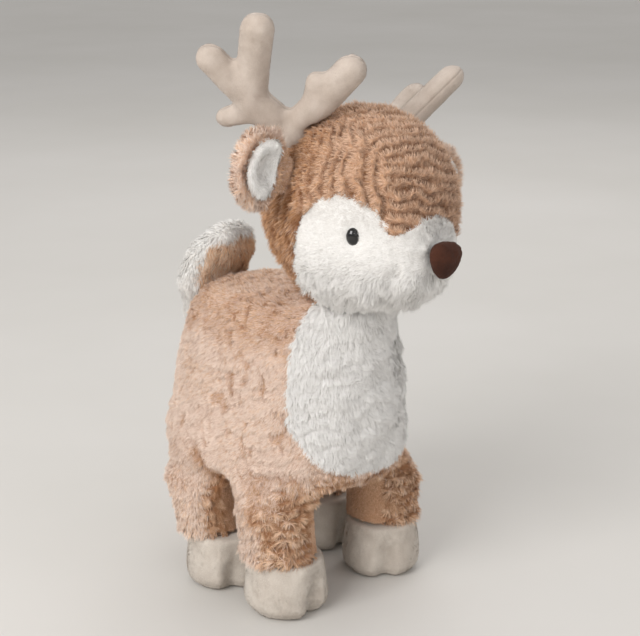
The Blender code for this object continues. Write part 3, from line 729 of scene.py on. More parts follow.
@dataclass
class Sheet:
    """A closed sheet of cloth: its corners, and its faces as rows of four corner numbers."""

    points: Array
    faces: Array

    @classmethod
    def taken(cls, item: Item) -> "Sheet":
        """The sheet that an object's modifiers make. The object goes."""
        mesh = item.evaluated_get(bpy.context.evaluated_depsgraph_get()).to_mesh()
        points, faces = np.empty(len(mesh.vertices) * 3), np.empty(len(mesh.loops), np.int64)
        mesh.vertices.foreach_get("co", points)
        mesh.loops.foreach_get("vertex_index", faces)
        bpy.data.objects.remove(item, do_unlink=True)
        return cls(points.reshape(-1, 3), faces.reshape(-1, 4))

    @classmethod
    def gathered(cls, nodes: list[str], voxel: float) -> "Sheet":
        """Makes one closed sheet of even faces round some of the frame's solids.

        Args:
            nodes: The solids' names.
            voxel: The size of a face.

        Returns:
            The sheet.
        """
        work = bmesh.new()
        for node in nodes:
            solid = frame["nodes"][node]
            part = solid.data.copy()
            part.transform(solid.matrix_world)
            work.from_mesh(part)
            bpy.data.meshes.remove(part)
        bmesh.ops.remove_doubles(work, verts=work.verts, dist=1e-6)
        mesh = bpy.data.meshes.new("gathered")
        work.to_mesh(mesh)
        work.free()
        item = linked("gathered", mesh)
        remesh = item.modifiers.new("remesh", "REMESH")
        remesh.mode, remesh.voxel_size = "VOXEL", voxel
        return cls.taken(item).outer()

    def outer(self) -> "Sheet":
        """The largest connected surface of the sheet."""
        label = np.arange(len(self.points))
        while True:
            low = label[self.faces].min(axis=1)
            new = label.copy()
            for k in range(4):
                np.minimum.at(new, self.faces[:, k], low)
            new = new[new]
            if (new == label).all():
                break
            label = new
        names, counts = np.unique(label, return_counts=True)
        kept = label == names[counts.argmax()]
        number = np.cumsum(kept) - 1
        return Sheet(self.points[kept], number[self.faces[kept[self.faces[:, 0]]]])

    def normals(self) -> Array:
        """The outward direction at each corner."""
        a, b, c, d = (self.points[self.faces[:, k]] for k in range(4))
        normal = np.cross(c - a, d - b)
        count = len(self.points)
        total = [
            sum(np.bincount(self.faces[:, k], weights=normal[:, axis], minlength=count) for k in range(4))
            for axis in range(3)
        ]
        return unit(np.stack(total, axis=1))

    def pull(self) -> Array:
        """The way from each corner to the mean of its neighbours."""
        i, j = self.faces.ravel(), np.roll(self.faces, -1, axis=1).ravel()
        ends, others = np.concatenate([i, j]), np.concatenate([j, i])
        total = [np.bincount(ends, weights=self.points[others, k]) for k in range(3)]
        return np.stack(total, axis=1) / np.bincount(ends)[:, None] - self.points

    def raise_by(self, height: Array) -> None:
        """Moves each corner outward by a height of its own."""
        self.points = self.points + self.normals() * height[:, None]

    def smooth(self, rounds: int, restore: float = -0.53) -> None:
        """Smooths the sheet and keeps its girth.

        Args:
            rounds: How many times.
            restore: How far each round pushes back out; 0 lets the sheet relax.
        """
        for _ in range(rounds):
            for factor in (0.5, restore):
                if factor:
                    self.points = self.points + factor * self.pull()

    def fill(self, rounds: int, share: Array) -> None:
        """Fills creases from inside, as loose stuffing does, and leaves the rest.

        Args:
            rounds: How many times.
            share: How much of each round a corner takes.
        """
        for _ in range(rounds):
            out = self.normals()
            rise = (self.pull() * out).sum(axis=1)
            self.points = self.points + out * (np.maximum(rise, 0.0) * share)[:, None]

    def stuff(self, held: Array, cap: float, pressure: float) -> None:
        """Fills the sheet as cloth under pressure, with its seams held.

        Args:
            held: 1 at a seam, 0 on free cloth.
            cap: The farthest that cloth may move.
            pressure: How hard the filling pushes.
        """
        item = new_object("settling", self.points, [self.faces], [])
        pins = item.vertex_groups.new(name="seam")
        for index in np.flatnonzero(held > 0.5):
            pins.add([int(index)], 1.0, "REPLACE")
        cloth = item.modifiers.new("cloth", "CLOTH")
        settings = cloth.settings
        settings.vertex_group_mass = "seam"
        settings.quality = 4
        settings.tension_stiffness = settings.compression_stiffness = 12.0
        settings.bending_stiffness = 0.4
        settings.use_pressure = True
        settings.uniform_pressure_force = pressure
        settings.effector_weights.gravity = 0.0
        cloth.collision_settings.use_collision = False
        cloth.point_cache.frame_start, cloth.point_cache.frame_end = 1, SETTLING_FRAMES
        scene = bpy.context.scene
        for at in range(1, SETTLING_FRAMES + 1):
            scene.frame_set(at)
        shift = Sheet.taken(item).points - self.points
        scene.frame_set(1)
        length = np.linalg.norm(shift, axis=1, keepdims=True)
        self.points = self.points + shift * np.minimum(1.0, cap / np.maximum(length, 1e-9))

    def divided(self, levels: int) -> "Sheet":
        """The sheet with each face split in four, smoothly, some levels deep."""
        item = new_object("dividing", self.points, [self.faces], [])
        finer = item.modifiers.new("finer", "SUBSURF")
        finer.levels = finer.render_levels = levels
        return Sheet.taken(item)


@dataclass
class Cover:
    """A stuffed cover: its smooth form, and the same corners raised by the pile."""

    base: Array
    faces: Array
    plain: Array = field(init=False)
    shown: Array = field(init=False)
    normal: Array = field(init=False)
    marks: dict[str, Array] = field(default_factory=dict)

    def __post_init__(self) -> None:
        """Finds the outward directions."""
        self.plain = Sheet(self.base, self.faces).normals()
        self.shown, self.normal = self.base, self.plain

    @classmethod
    def sewn(
        cls, nodes: list[str], voxel: float, rounds: int, levels: int = 1,
        held: Callable[[Array], Array] | None = None, cap: float = 0.0, pressure: float = 0.0,
        inset: float = 0.0, shape: Callable[[Sheet], None] | None = None,
    ) -> "Cover":
        """Sews a cover round some of the frame's solids, stuffs it and makes it fine.

        Args:
            nodes: The solids' names.
            voxel: Size of its faces while it settles.
            rounds: Rounds of smoothing.
            levels: How many times its faces are split.
            held: Tells which places lie on a seam, or None for no cloth step.
            cap: The farthest that the filling may push it.
            pressure: How hard the filling pushes.
            inset: How much smaller it is cut.
            shape: Shapes the cut cloth further, or None.

        Returns:
            The cover.
        """
        sheet = Sheet.gathered(nodes, voxel)
        sheet.smooth(rounds)
        if shape is not None:
            shape(sheet)
        if held is not None:
            seam = held(sheet.points).astype(float)
            sheet.raise_by(-inset * (0.4 + 0.6 * (1 - seam)))
            sheet.stuff(seam, cap, pressure)
            sheet.smooth(1, 0.0)
        fine = sheet.divided(levels)
        return cls(fine.points, fine.faces)

    def raised(self, height: Array, crest: Array) -> None:
        """Moves the shown surface out by a height at each corner, and keeps how high each crest is."""
        self.shown = self.base + self.plain * height[:, None]
        self.normal = Sheet(self.shown, self.faces).normals()
        self.marks["crest"] = crest

    def reshape(self, height: Array) -> None:
        """Moves the smooth form out by a height at each corner, before any pile is on it."""
        self.base = self.base + self.plain * height[:, None]
        self.plain = Sheet(self.base, self.faces).normals()

    def middles(self) -> Array:
        """The middle of each face of the smooth form."""
        return self.base[self.faces].mean(axis=1)

    def panel(self, name: str, chosen: Array, material: bpy.types.Material) -> Item:
        """Cuts one panel out of the cover.

        Args:
            name: The panel's name.
            chosen: True for each of its faces.
            material: Its material.

        Returns:
            The panel's object.
        """
        faces = self.faces[chosen]
        used, numbers = np.unique(faces, return_inverse=True)
        item = new_object(name, self.shown[used], [numbers.reshape(faces.shape)], [material])
        hold_normals(item, self.normal[used])
        for key, values in self.marks.items():
            mark = item.data.attributes.new(key, "FLOAT", "POINT")
            mark.data.foreach_set("value", values[used].astype(np.float32))
        return item


# Pile


@dataclass(frozen=True)
class Fibre:
    """How one plush's fibres are cut and set.

    Lengths are in metres, and lean is in degrees from the cloth's normal, with fall more of it at the tip.
    Tufts stand tuft apart, and gather is how far their fibres come together. Tousle turns whole tufts
    aside and stray turns single fibres. Joints is the number of bends in a fibre.
    """

    length: float
    width: float
    per_mm2: float
    lean: float
    fall: float
    tuft: float
    gather: float
    tousle: float
    stray: float = 0.22
    joints: int = 1


@dataclass
class Look:
    """What a plush does at each place: height of the pile's mass, length, shade, warmth, comb and lean. Its
    shade and crest also hold painted shade, lower in hollows, creases and valleys.
    """

    height: Array
    crest: Array
    length: Array
    shade: Array
    warmth: Array
    comb: Array
    tousle: Array

    @classmethod
    def plain(cls, points: Array, comb: tuple[float, float, float] = (0.0, 0.0, 0.0)) -> "Look":
        """An even pile, combed one way or not at all."""
        n = len(points)
        none, some, full = np.zeros(n), np.full(n, 0.6), np.ones(n)
        return cls(none, some, full, some.copy(), none.copy(), np.tile(comb, (n, 1)), full.copy())


class Plush:
    """A plush cloth: its fibres, its dyes and how its pile lies. Each plush has its own look."""

    fibre: Fibre
    finish: PileFinish

    def look(self, points: Array, normals: Array) -> Look:
        """How the pile lies at each place.

        Args:
            points: Places on the smooth cover.
            normals: Its outward directions there.

        Returns:
            The look.
        """
        return Look.plain(points, (0.0, 0.3, -1.0))


def tiers(p: Array, spacing: float, slope: float, seed: int) -> Array:
    """The soft rows of tufts in a long pile.

    Args:
        p: Places, in rows of three.
        spacing: Distance between rows.
        slope: How far the rows climb toward the front.
        seed: Which pattern.

    Returns:
        A number from about -0.5 under a row's lip to 0.5 on it.
    """
    wander = 0.55 * ripple(p, 1.8 * spacing, seed) + 0.40 * ripple(p, 0.85 * spacing, seed + 1)
    phase = (p[:, 2] + slope * p[:, 1]) / spacing + wander
    share = 1 - (phase - np.floor(phase))
    return (share**1.6 - 0.5) * step(0.0, 0.12, share) * (0.75 + 0.35 * ripple(p, 1.15 * spacing, seed + 2))


class BodyPlush(Plush):
    """Light tan body plush: soft and combed, with pressed dimples and short strokes, and curls low down."""

    fibre = Fibre(
        length=0.0040, width=0.00032, per_mm2=4.0, lean=58.0, fall=16.0,
        tuft=0.0034, gather=0.18, tousle=0.30,
    )
    finish = TAN_PILE
    leg_shade_height = (0.070, 0.098)
    rump_height = (0.146, 0.166)
    tier_spacing, tier_rise, hill_rise = 0.0088, 0.0013, 0.0009
    dimple_depth, stroke_depth, crease_depth = 0.0020, 0.0015, 0.0030
    curl_rise = 0.0031

    def crease(self, p: Array) -> Array:
        """How near places are to the tuck over each hind leg, from points of the sewing frame."""
        start, run = np.array((0.008, 0.058)), np.array((0.020, 0.030))
        off = p[:, 1:] - start
        share = np.clip((off @ run) / (run @ run), 0, 1)
        gap = np.linalg.norm(off - share[:, None] * run, axis=1) + 0.0015 * ripple(p, 0.008, 36)
        return np.exp(-((gap / 0.0060) ** 2)) * step(0.036, 0.046, np.abs(p[:, 0])) * (1 - 0.35 * share)

    def curls(self, p: Array) -> Array:
        """The rows of curls in front of the legs, from 0 in a hollow to 1 on a curl."""
        tuft = tufts_at(p * (1.0, 1.0, 0.9), 0.0060, 82)
        wander = 0.5 * ripple(p, 0.012, 89) + 0.25 * ripple(p, 0.005, 90)
        row = 0.5 + 0.5 * np.cos(2 * np.pi * (p[:, 2] / 0.0056 + wander))
        return 0.55 * np.clip(tuft.edge * 2.2, 0, 1) + 0.45 * row

    def look(self, points: Array, normals: Array) -> Look:
        """See Plush.look."""
        found = Look.plain(points)
        p = sewing(points)
        hills = 0.6 * ripple(p, 0.014, 11) + 0.4 * ripple(p, 0.0065, 12)
        dots = tufts_at(p, 0.0125, 21)
        top, crease = step(*self.rump_height, p[:, 2]), self.crease(p)
        spread = 0.0023 + 0.0010 * ripple(p, 0.004, 22)
        some = lattice(dots.cell, 24) < 0.18 + 0.52 * top
        pressed = np.exp(-((dots.distance / spread) ** 2)) * some * (0.58 + 0.52 * top)
        turned = np.stack([p[:, 0] * 1.3, p[:, 1] - 0.5 * p[:, 2], 0.40 * p[:, 2] + 0.25 * p[:, 1]], axis=1)
        stroke = step(0.24, 0.64, ripple(turned, 0.0036, 31)) * step(-0.6, 0.1, ripple(p, 0.03, 33))
        stroke = stroke * (0.72 + 0.3 * top)
        leg = 1 - step(*self.leg_shade_height, p[:, 2] + 0.006 * ripple(p, 0.012, 34))
        hind = step(0.015, 0.030, p[:, 1])
        front = leg * step(0.05, 0.75, -normals[:, 1] - 0.33 * hind + 0.25 * ripple(p, 0.01, 81))
        curl = self.curls(p)
        marks = 1 - leg
        rows = tiers(p, self.tier_spacing, 0.30, 13) * (1 - 0.7 * front)
        found.height = (
            self.tier_rise * rows + self.hill_rise * hills
            - (self.dimple_depth * pressed + self.stroke_depth * stroke) * marks
            - self.crease_depth * crease + front * self.curl_rise * (curl - 0.55)
        )
        # The crest mark is lowered in the dimples, strokes, curl hollows and crease, which gives the backing
        # painted shade there.
        crest = (
            0.8 + 0.15 * hills - (0.6 * pressed + 0.45 * stroke) * marks - front * 0.8 * (1 - curl)
            - 0.4 * crease
        )
        found.crest = np.clip(crest, 0, 1)
        # Painted shade: darker under the rows' lips, on low hills, in the crease over the hind legs and in
        # the hollows between the curls. The dimples, strokes and legs' fronts are darker partly for their
        # darker roots and warmer pile, and partly as painted shade.
        found.shade = (
            0.85 + 0.17 * rows + 0.10 * hills - (0.46 * pressed + 0.42 * stroke) * marks - 0.24 * top
            - 0.62 * crease + front * (1.60 * (curl - 0.62) - 0.24)
        )
        # The crease and the curl hollows are also painted warmer, along with their shade.
        warm = 0.06 + 0.45 * (pressed + stroke) * marks + 0.9 * crease + front * (1.0 - 0.30 * curl)
        found.warmth = np.clip(warm + 0.06 * leg + 0.34 * top + 0.2 * ripple(p, 0.022, 35), 0, 1)
        way = np.array((0.0, 0.55, -0.75)) + leg[:, None] * np.array((0.0, -0.5, -0.25))
        found.comb = way + 0.3 * swirl(p, 0.016, 41) + (0.8 * front)[:, None] * swirl(p, 0.010, 86)
        found.tousle = 1.0 + 0.7 * front
        cuff = 1 - step(0.036, 0.044, p[:, 2])
        found.length = 1 - (0.35 * pressed + 0.2 * stroke) * marks + 0.15 * front * curl + 0.45 * cuff
        return found


class BibPlush(Plush):
    """White chest plush: soft tufts that fall in waves."""

    fibre = Fibre(
        length=0.0052, width=0.00034, per_mm2=4.0, lean=56.0, fall=18.0,
        tuft=0.0048, gather=0.25, tousle=0.45,
    )
    finish = WHITE_PILE

    def look(self, points: Array, normals: Array) -> Look:
        """See Plush.look."""
        found = Look.plain(points, (0.0, -0.1, -1.0))
        p = sewing(points)
        waves = 0.5 * ripple(p * (1.0, 1.0, 1.5), 0.0135, 51) + 0.35 * ripple(p, 0.007, 52)
        waves = waves + 0.34 * tiers(p, 0.0118, 0.2, 57)
        found.height = 0.0021 * waves + 0.0014 * ripple(p, 0.024, 56)
        found.crest = np.clip(0.7 + 0.4 * waves, 0, 1)
        # Painted shade: darker in the hollows of the waves and toward the deer's left side, away from the key
        # lamp.
        found.shade = 1.02 + 0.26 * waves - 0.26 * step(0.0, 0.045, p[:, 0])
        loose = 0.9 - 0.75 * step(0.020, 0.038, np.abs(p[:, 0]))
        found.comb = found.comb + swirl(p, 0.016, 53) * loose[:, None]
        found.tousle = 1 - 0.75 * step(0.018, 0.036, p[:, 0])
        return found


class HeadPlush(Plush):
    """Darker tan head plush with ridges: upright on the sides, across on the gusset."""

    fibre = Fibre(
        length=0.0038, width=0.00030, per_mm2=4.6, lean=55.0, fall=16.0,
        tuft=0.0030, gather=0.20, tousle=0.40,
    )
    finish = HEAD_PILE
    gusset = 0.029

    def ridges(self, p: Array) -> Array:
        """The ridges of the pile, from 0 in a valley to 1 on a crest, from points of the head's frame."""
        around = HEAD.radius * np.arctan2(-p[:, 1], np.abs(p[:, 0])) + 0.25 * p[:, 2]
        across = HEAD.radius * np.arctan2(-p[:, 1], p[:, 2])
        side = step(-0.002, 0.003, np.abs(p[:, 0]) - self.gusset + 0.002 * ripple(p, 0.01, 60))
        wander = 0.42 * ripple(p, 0.014, 61) + 0.30 * ripple(p, 0.0062, 62) + 0.12 * ripple(p, 0.003, 64)
        upright = 0.5 + 0.5 * np.cos(2 * np.pi * (around / 0.0088 + wander * 1.2))
        level = 0.5 + 0.5 * np.cos(2 * np.pi * (across / 0.0070 + wander))
        broken = np.clip(0.88 + 0.5 * ripple(p, 0.0085, 66), 0.25, 1)
        lumps = np.clip(tufts_at(p, 0.0050, 67).edge * 1.8, 0, 1)
        ridge = 1 - broken * (1 - (upright * side + level * (1 - side)))
        return np.clip(0.72 * ridge + 0.28 * lumps, 0, 1) ** 0.9

    def look(self, points: Array, normals: Array) -> Look:
        """See Plush.look."""
        p = HEAD.place.local(points)
        found = Look.plain(points)
        ridge = self.ridges(p)
        lumps = ripple(p, 0.006, 63)
        u = p / HEAD.radius
        behind = 1 - step(-0.05, 0.35, -u[:, 1])
        jaw = behind * (1 - step(-0.25, 0.15, u[:, 2]))
        crown = step(0.55, 0.85, u[:, 2])
        lift = 0.55 + 0.45 * (1 - jaw)
        found.height = 0.0033 * (ridge - 0.7) * lift + 0.0006 * lumps
        found.crest = np.clip(0.2 + 0.75 * ridge + 0.12 * lumps, 0, 1)
        # Ridge valleys and low lumps are darker partly for the darker roots that show there and partly as
        # painted shade.
        found.shade = (
            0.54 + 0.96 * (ridge - 0.62) + 0.08 * lumps + 0.12 * crown + 0.12 * (1 - behind) - 0.04 * behind
        )
        warm = 0.65 * behind * (1 - crown) + 0.03 + 0.25 * (1 - ridge)
        found.warmth = np.clip(warm + 0.2 * ripple(p, 0.02, 65), 0, 1)
        side_way = np.stack([0.1 * np.sign(p[:, 0]), np.full(len(p), 0.9), -0.5 - 0.9 * jaw], axis=1)
        top_way = np.stack([0 * p[:, 0], np.full(len(p), 0.7), 0.7 * (1 - crown)], axis=1)
        side = step(-0.002, 0.003, np.abs(p[:, 0]) - self.gusset)[:, None]
        found.comb = HEAD.place.turned(side_way * side + top_way * (1 - side))
        found.length = 0.8 + 0.35 * ridge + 0.6 * jaw
        return found


class FacePlush(Plush):
    """White face plush: clipped short round the eyes, longer at the muzzle and along the jaw."""

    fibre = Fibre(
        length=0.0040, width=0.00032, per_mm2=4.6, lean=57.0, fall=18.0,
        tuft=0.0040, gather=0.22, tousle=0.40,
    )
    finish = WHITE_PILE

    def look(self, points: Array, normals: Array) -> Look:
        """See Plush.look."""
        found = Look.plain(points)
        p = HEAD.place.local(points)
        u = p / HEAD.radius
        low = 1 - step(-0.85, -0.35, u[:, 2])
        nose = np.linalg.norm(u - (0.0, -1.2, -0.33), axis=1)
        fluffy = np.clip(low + 0.6 * (1 - step(0.35, 0.7, nose)), 0, 1)
        waves = 0.5 * ripple(p, 0.010, 71) + 0.5 * ripple(p, 0.0052, 72)
        found.height = (0.0003 + 0.0015 * fluffy) * waves - 0.0008 * (1 - fluffy) + 0.0008 * fluffy
        found.crest = np.clip(0.75 + 0.3 * waves * fluffy, 0, 1)
        # Painted shade: the upper face is darkened against the lamp above it, and the hollows of the fluffy
        # waves are darker.
        found.shade = 0.92 + (0.05 + 0.18 * fluffy) * waves - 0.86 * step(-0.38, 0.08, u[:, 2])
        found.length = 0.62 + 0.55 * fluffy + 0.5 * low
        away = unit(p - (0.0, -1.15 * HEAD.radius, -0.33 * HEAD.radius))
        away[:, 2] -= 0.6 * low
        away = away + 0.4 * fluffy[:, None] * swirl(p, 0.012, 73)
        found.comb = HEAD.place.turned(away)
        found.tousle = 0.4 + 1.0 * fluffy
        return found


class LegPlush(BodyPlush):
    """The same tan plush on the legs: smooth outside, rows of tousled curls in front."""

    fibre = Fibre(
        length=0.0046, width=0.00032, per_mm2=4.4, lean=56.0, fall=18.0,
        tuft=0.0036, gather=0.26, tousle=0.55,
    )


class InnerLegPlush(Plush):
    """Short clipped tan pile of the inner legs and the belly."""

    fibre = Fibre(
        length=0.0017, width=0.00032, per_mm2=4.0, lean=42.0, fall=25.0,
        tuft=0.0030, gather=0.15, tousle=0.25, stray=0.2,
    )
    finish = SHORT_PILE

    def look(self, points: Array, normals: Array) -> Look:
        """See Plush.look."""
        found = Look.plain(points, (0.0, 0.0, -1.0))
        p = sewing(points)
        found.height = -0.0006 + 0.0003 * ripple(p, 0.012, 91)
        found.shade = 0.6 + 0.2 * ripple(p, 0.009, 92)
        return found


class AntlerPlush(Plush):
    """The antlers' very short nap."""

    fibre = Fibre(
        length=0.0010, width=0.00026, per_mm2=3.2, lean=45.0, fall=15.0,
        tuft=0.0050, gather=0.0, tousle=0.3, stray=0.4,
    )
    finish = ANTLER_PILE

    def look(self, points: Array, normals: Array) -> Look:
        """See Plush.look."""
        found = Look.plain(points, (0.0, 0.0, -0.4))
        found.shade = 0.62 + 0.30 * ripple(points, 0.016, 131) + 0.15 * ripple(points, 0.004, 132)
        found.comb = found.comb + 0.7 * swirl(points, 0.014, 133)
        return found


class HoofPlush(AntlerPlush):
    """The hooves' very short nap."""

    fibre = Fibre(
        length=0.0013, width=0.00026, per_mm2=3.4, lean=42.0, fall=15.0,
        tuft=0.0050, gather=0.0, tousle=0.4, stray=0.5,
    )
    finish = HOOF_PILE


class TailPlush(Plush):
    """Tail plush: a white outer crescent round a tan inner face."""

    fibre = Fibre(
        length=0.0056, width=0.00034, per_mm2=4.4, lean=54.0, fall=18.0,
        tuft=0.0040, gather=0.34, tousle=0.6,
    )
    finish = TAIL_PILE

    def look(self, points: Array, normals: Array) -> Look:
        """See Plush.look."""
        found = Look.plain(points, (0.0, 0.15, -0.9))
        p = sewing(points)
        hills = 0.6 * ripple(p, 0.012, 101) + 0.4 * ripple(p, 0.006, 102)
        low = 1 - step(0.150, 0.190, p[:, 2])
        turned = step(-0.006, 0.016, p[:, 0] + 0.004 * ripple(p, 0.008, 104))
        found.height = 0.0014 * hills
        found.crest = np.clip(0.6 + 0.3 * hills, 0, 1)
        # Painted shade: darker on the low hills. The face is also a little darker low down and toward the
        # deer's left.
        found.shade = 1.20 + 0.24 * hills - 0.14 * low - 0.06 * turned
        found.warmth = np.clip(0.40 + 0.35 * low + 0.60 * turned + 0.2 * hills, 0, 1)
        found.comb = found.comb + 0.7 * swirl(p, 0.010, 103)
        return found


class WhiteTailPlush(TailPlush):
    """The white outer face of the tail."""

    finish = WHITE_PILE

    def look(self, points: Array, normals: Array) -> Look:
        """See Plush.look."""
        found = super().look(points, normals)
        found.shade = found.shade + 0.2
        combed = np.array((0.0, 0.15, -0.9))
        found.comb = combed + 0.3 * (found.comb - combed)
        found.tousle = 0.5 * found.tousle
        return found


class EarPlush(Plush):
    """Tan ear plush with light, fluffy tips round the rim."""

    fibre = Fibre(
        length=0.0042, width=0.00030, per_mm2=5.0, lean=52.0, fall=18.0,
        tuft=0.0032, gather=0.28, tousle=0.55,
    )
    finish = TAN_PILE

    def look(self, points: Array, normals: Array) -> Look:
        """See Plush.look."""
        p = sewing(points)
        side = Side.LEFT if p[:, 0].mean() > 0 else Side.RIGHT
        ear = HEAD.ear(side)
        q = ear.local(points)
        found = Look.plain(points)
        root = step(0.003, 0.013, q[:, 2])
        rim = root * step(0.011, 0.017, np.hypot(q[:, 0] / 1.15, q[:, 2] - 0.0165))
        hills = ripple(p, 0.006, 111)
        found.height = 0.0010 * rim + 0.0008 * hills - 0.0008 * (1 - root)
        found.length = 0.5 + 0.35 * root + 0.4 * rim
        found.tousle = 1.0 + 0.2 * rim
        found.crest = np.clip(0.5 + 0.4 * rim + 0.2 * hills, 0, 1)
        front = step(0.0, 0.004, -q[:, 1])
        # Painted shade: darker on the low hills. The front face away from the rim is darker too.
        found.shade = 0.66 + 0.26 * rim + 0.14 * hills - 0.12 * front * (1 - rim)
        found.warmth = np.clip(0.75 - 0.6 * rim + 0.25 * hills, 0, 1)
        away = unit(np.stack([q[:, 0], 0 * q[:, 0] - 0.002, q[:, 2] - 0.012], axis=1))
        found.comb = ear.turned(away)
        return found


class LiningPlush(Plush):
    """White ear lining."""

    fibre = Fibre(
        length=0.0030, width=0.00030, per_mm2=5.0, lean=56.0, fall=16.0,
        tuft=0.0040, gather=0.2, tousle=0.45,
    )
    finish = WHITE_PILE

    def look(self, points: Array, normals: Array) -> Look:
        """See Plush.look."""
        found = Look.plain(points, (0.0, 0.0, -0.6))
        hills = ripple(points, 0.006, 121)
        found.height = 0.0021 + 0.0006 * hills
        # Painted shade: darker on the low hills.
        found.shade = 1.15 + 0.12 * hills
        found.comb = found.comb + 0.6 * swirl(points, 0.012, 122)
        return found


class FringePlush(FacePlush):
    """The face plush left long under the jaw."""

    fibre = Fibre(
        length=0.0088, width=0.00036, per_mm2=3.4, lean=50.0, fall=8.0,
        tuft=0.0050, gather=0.42, tousle=0.5,
    )

    def look(self, points: Array, normals: Array) -> Look:
        """See Plush.look."""
        found = super().look(points, normals)
        found.comb = found.comb - np.array((0.0, 0.0, 2.0))
        found.length = 0.8 + 0.3 * ripple(points, 0.005, 76)
        found.shade = found.shade + 0.12
        return found


BODY, BIB, LEG, INNER = BodyPlush(), BibPlush(), LegPlush(), InnerLegPlush()
CROWN, FACE, FRINGE = HeadPlush(), FacePlush(), FringePlush()
TAIL, WHITE_TAIL, EAR, LINING = TailPlush(), WhiteTailPlush(), EarPlush(), LiningPlush()
ANTLER_NAP, HOOF_NAP = AntlerPlush(), HoofPlush()


@dataclass
class Roots:
    """Where fibres are set: on the smooth form, on the shown surface, and the outward directions."""

    base: Array
    plain: Array
    place: Array
    normal: Array

    def chosen(self, mask: Array) -> "Roots":
        """The roots for which the mask is true."""
        return Roots(self.base[mask], self.plain[mask], self.place[mask], self.normal[mask])


def set_roots(cover: Cover, faces: Array, per_mm2: float, seed: int) -> Roots:
    """Strews fibre roots evenly over some faces of a cover.

    Args:
        cover: The cover.
        faces: True for each face that carries pile.
        per_mm2: Fibres on a square millimetre.
        seed: Which strewing.

    Returns:
        The roots.
    """
    rng = np.random.default_rng(seed)
    quads = cover.faces[faces]
    corners = np.concatenate([quads[:, [0, 1, 2]], quads[:, [0, 2, 3]]])
    a, b, c = (cover.shown[corners[:, k]] for k in range(3))
    area = np.linalg.norm(np.cross(b - a, c - a), axis=1) / 2.0
    total = int(area.sum() * 1e6 * per_mm2)
    found = np.searchsorted(np.cumsum(area), rng.random(total) * area.sum())
    picked = corners[found.clip(0, len(corners) - 1)]
    r, s = np.sqrt(rng.random(total)), rng.random(total)
    share = np.stack([1 - r, r * (1 - s), r * s], axis=1)[:, :, None]

    def blend(rows: Array) -> Array:
        """Rows of the corners brought to the roots."""
        return (rows[picked] * share).sum(axis=1)

    return Roots(blend(cover.base), unit(blend(cover.plain)), blend(cover.shown), unit(blend(cover.normal)))


def grow(name: str, roots: Roots, plush: Plush, seed: int) -> Item:
    """Grows the fibres of one piece of pile as tapered ribbons, gathered in tufts.

    Args:
        name: The piece's name.
        roots: Where they are set.
        plush: The cloth.
        seed: Which set of strays.

    Returns:
        The pile's object.
    """
    fibre, n = plush.fibre, len(roots.base)
    rng = np.random.default_rng(seed)
    look = plush.look(roots.base, roots.plain)
    normal = roots.normal
    tuft = tufts_at(roots.base + 0.0006 * rng.standard_normal((n, 3)), fibre.tuft, seed % 7 + 200)
    own = np.stack([lattice(tuft.cell, 210 + k) for k in range(4)], axis=1)
    swing = (own[:, :3] * 2 - 1) * (fibre.tousle * look.tousle)[:, None]
    swing = swing + fibre.stray * rng.standard_normal((n, 3))
    way = look.comb + swing
    way = unit(way - normal * (way * normal).sum(axis=1, keepdims=True))
    middle = tuft.middle - normal * ((tuft.middle - roots.base) * normal).sum(axis=1, keepdims=True)
    middle = middle + roots.place - roots.base
    length = fibre.length * look.length * (0.8 + 0.25 * own[:, 3]) * (0.82 + 0.36 * rng.random(n))
    joints = fibre.joints
    spine, heart = [roots.place - normal * ROOT_DEPTH], [middle]
    for k in range(joints + 1):
        lean = np.radians(fibre.lean + fibre.fall * (k / joints - 0.3) + 6.0 * rng.standard_normal(n))
        run = normal * np.cos(lean)[:, None] + way * np.sin(lean)[:, None]
        run = run * (length / (joints + 1))[:, None]
        spine.append(spine[-1] + run)
        heart.append(heart[-1] + run)
    for k in range(1, joints + 2):
        pull = fibre.gather * (k / (joints + 1)) ** 1.2
        spine[k] = spine[k] + (heart[k] - spine[k]) * pull
    run = unit(spine[-1] - spine[0])
    flat = unit(np.cross(run, normal))
    roll = 0.5 * rng.standard_normal(n)[:, None]
    flat = unit(flat * np.cos(roll) + np.cross(run, flat) * np.sin(roll))
    width = fibre.width * (0.8 + 0.4 * rng.random(n))[:, None] / 2.0
    rows, lit = [], []
    round_off = unit(normal + 0.25 * (roots.place - middle) / fibre.tuft)
    for k in range(joints + 1):
        half = flat * width * (1.0 - 0.12 * k)
        rows += [spine[k] - half, spine[k] + half]
        lit += [unit(round_off - 0.2 * flat), unit(round_off + 0.2 * flat)]
    rows.append(spine[-1])
    lit.append(unit(round_off + 0.15 * run))
    starts = np.arange(n)[:, None] * len(rows)
    quads = np.concatenate([starts + (2 * k, 2 * k + 1, 2 * k + 3, 2 * k + 2) for k in range(joints)])
    tips = starts + (2 * joints, 2 * joints + 1, 2 * joints + 2)
    # The look's shade picks each fibre's dye step, so it carries the looks' painted shade. Roots are darker
    # and tips lighter, as the fibres are dyed.
    level = look.shade + 0.08 * (own[:, 3] - 0.5) + 0.09 * rng.standard_normal(n)
    warm = (look.warmth > rng.random(n)).astype(int) * plush.finish.steps
    shades = []
    for k in range(joints + 1):
        s = level + (k / joints - 0.7) * 0.22
        shades.append(np.clip((s * plush.finish.steps).astype(int), 0, plush.finish.steps - 1) + warm)
    item = new_object(name, np.stack(rows, axis=1).reshape(-1, 3), [quads, tips], plush.finish.materials())
    item.data.polygons.foreach_set("material_index", np.concatenate(shades).astype(np.int32))
    hold_normals(item, np.stack(lit, axis=1).reshape(-1, 3))
    LOG.info("%s: %d fibres", name, n)
    return item


# Sub-assemblies


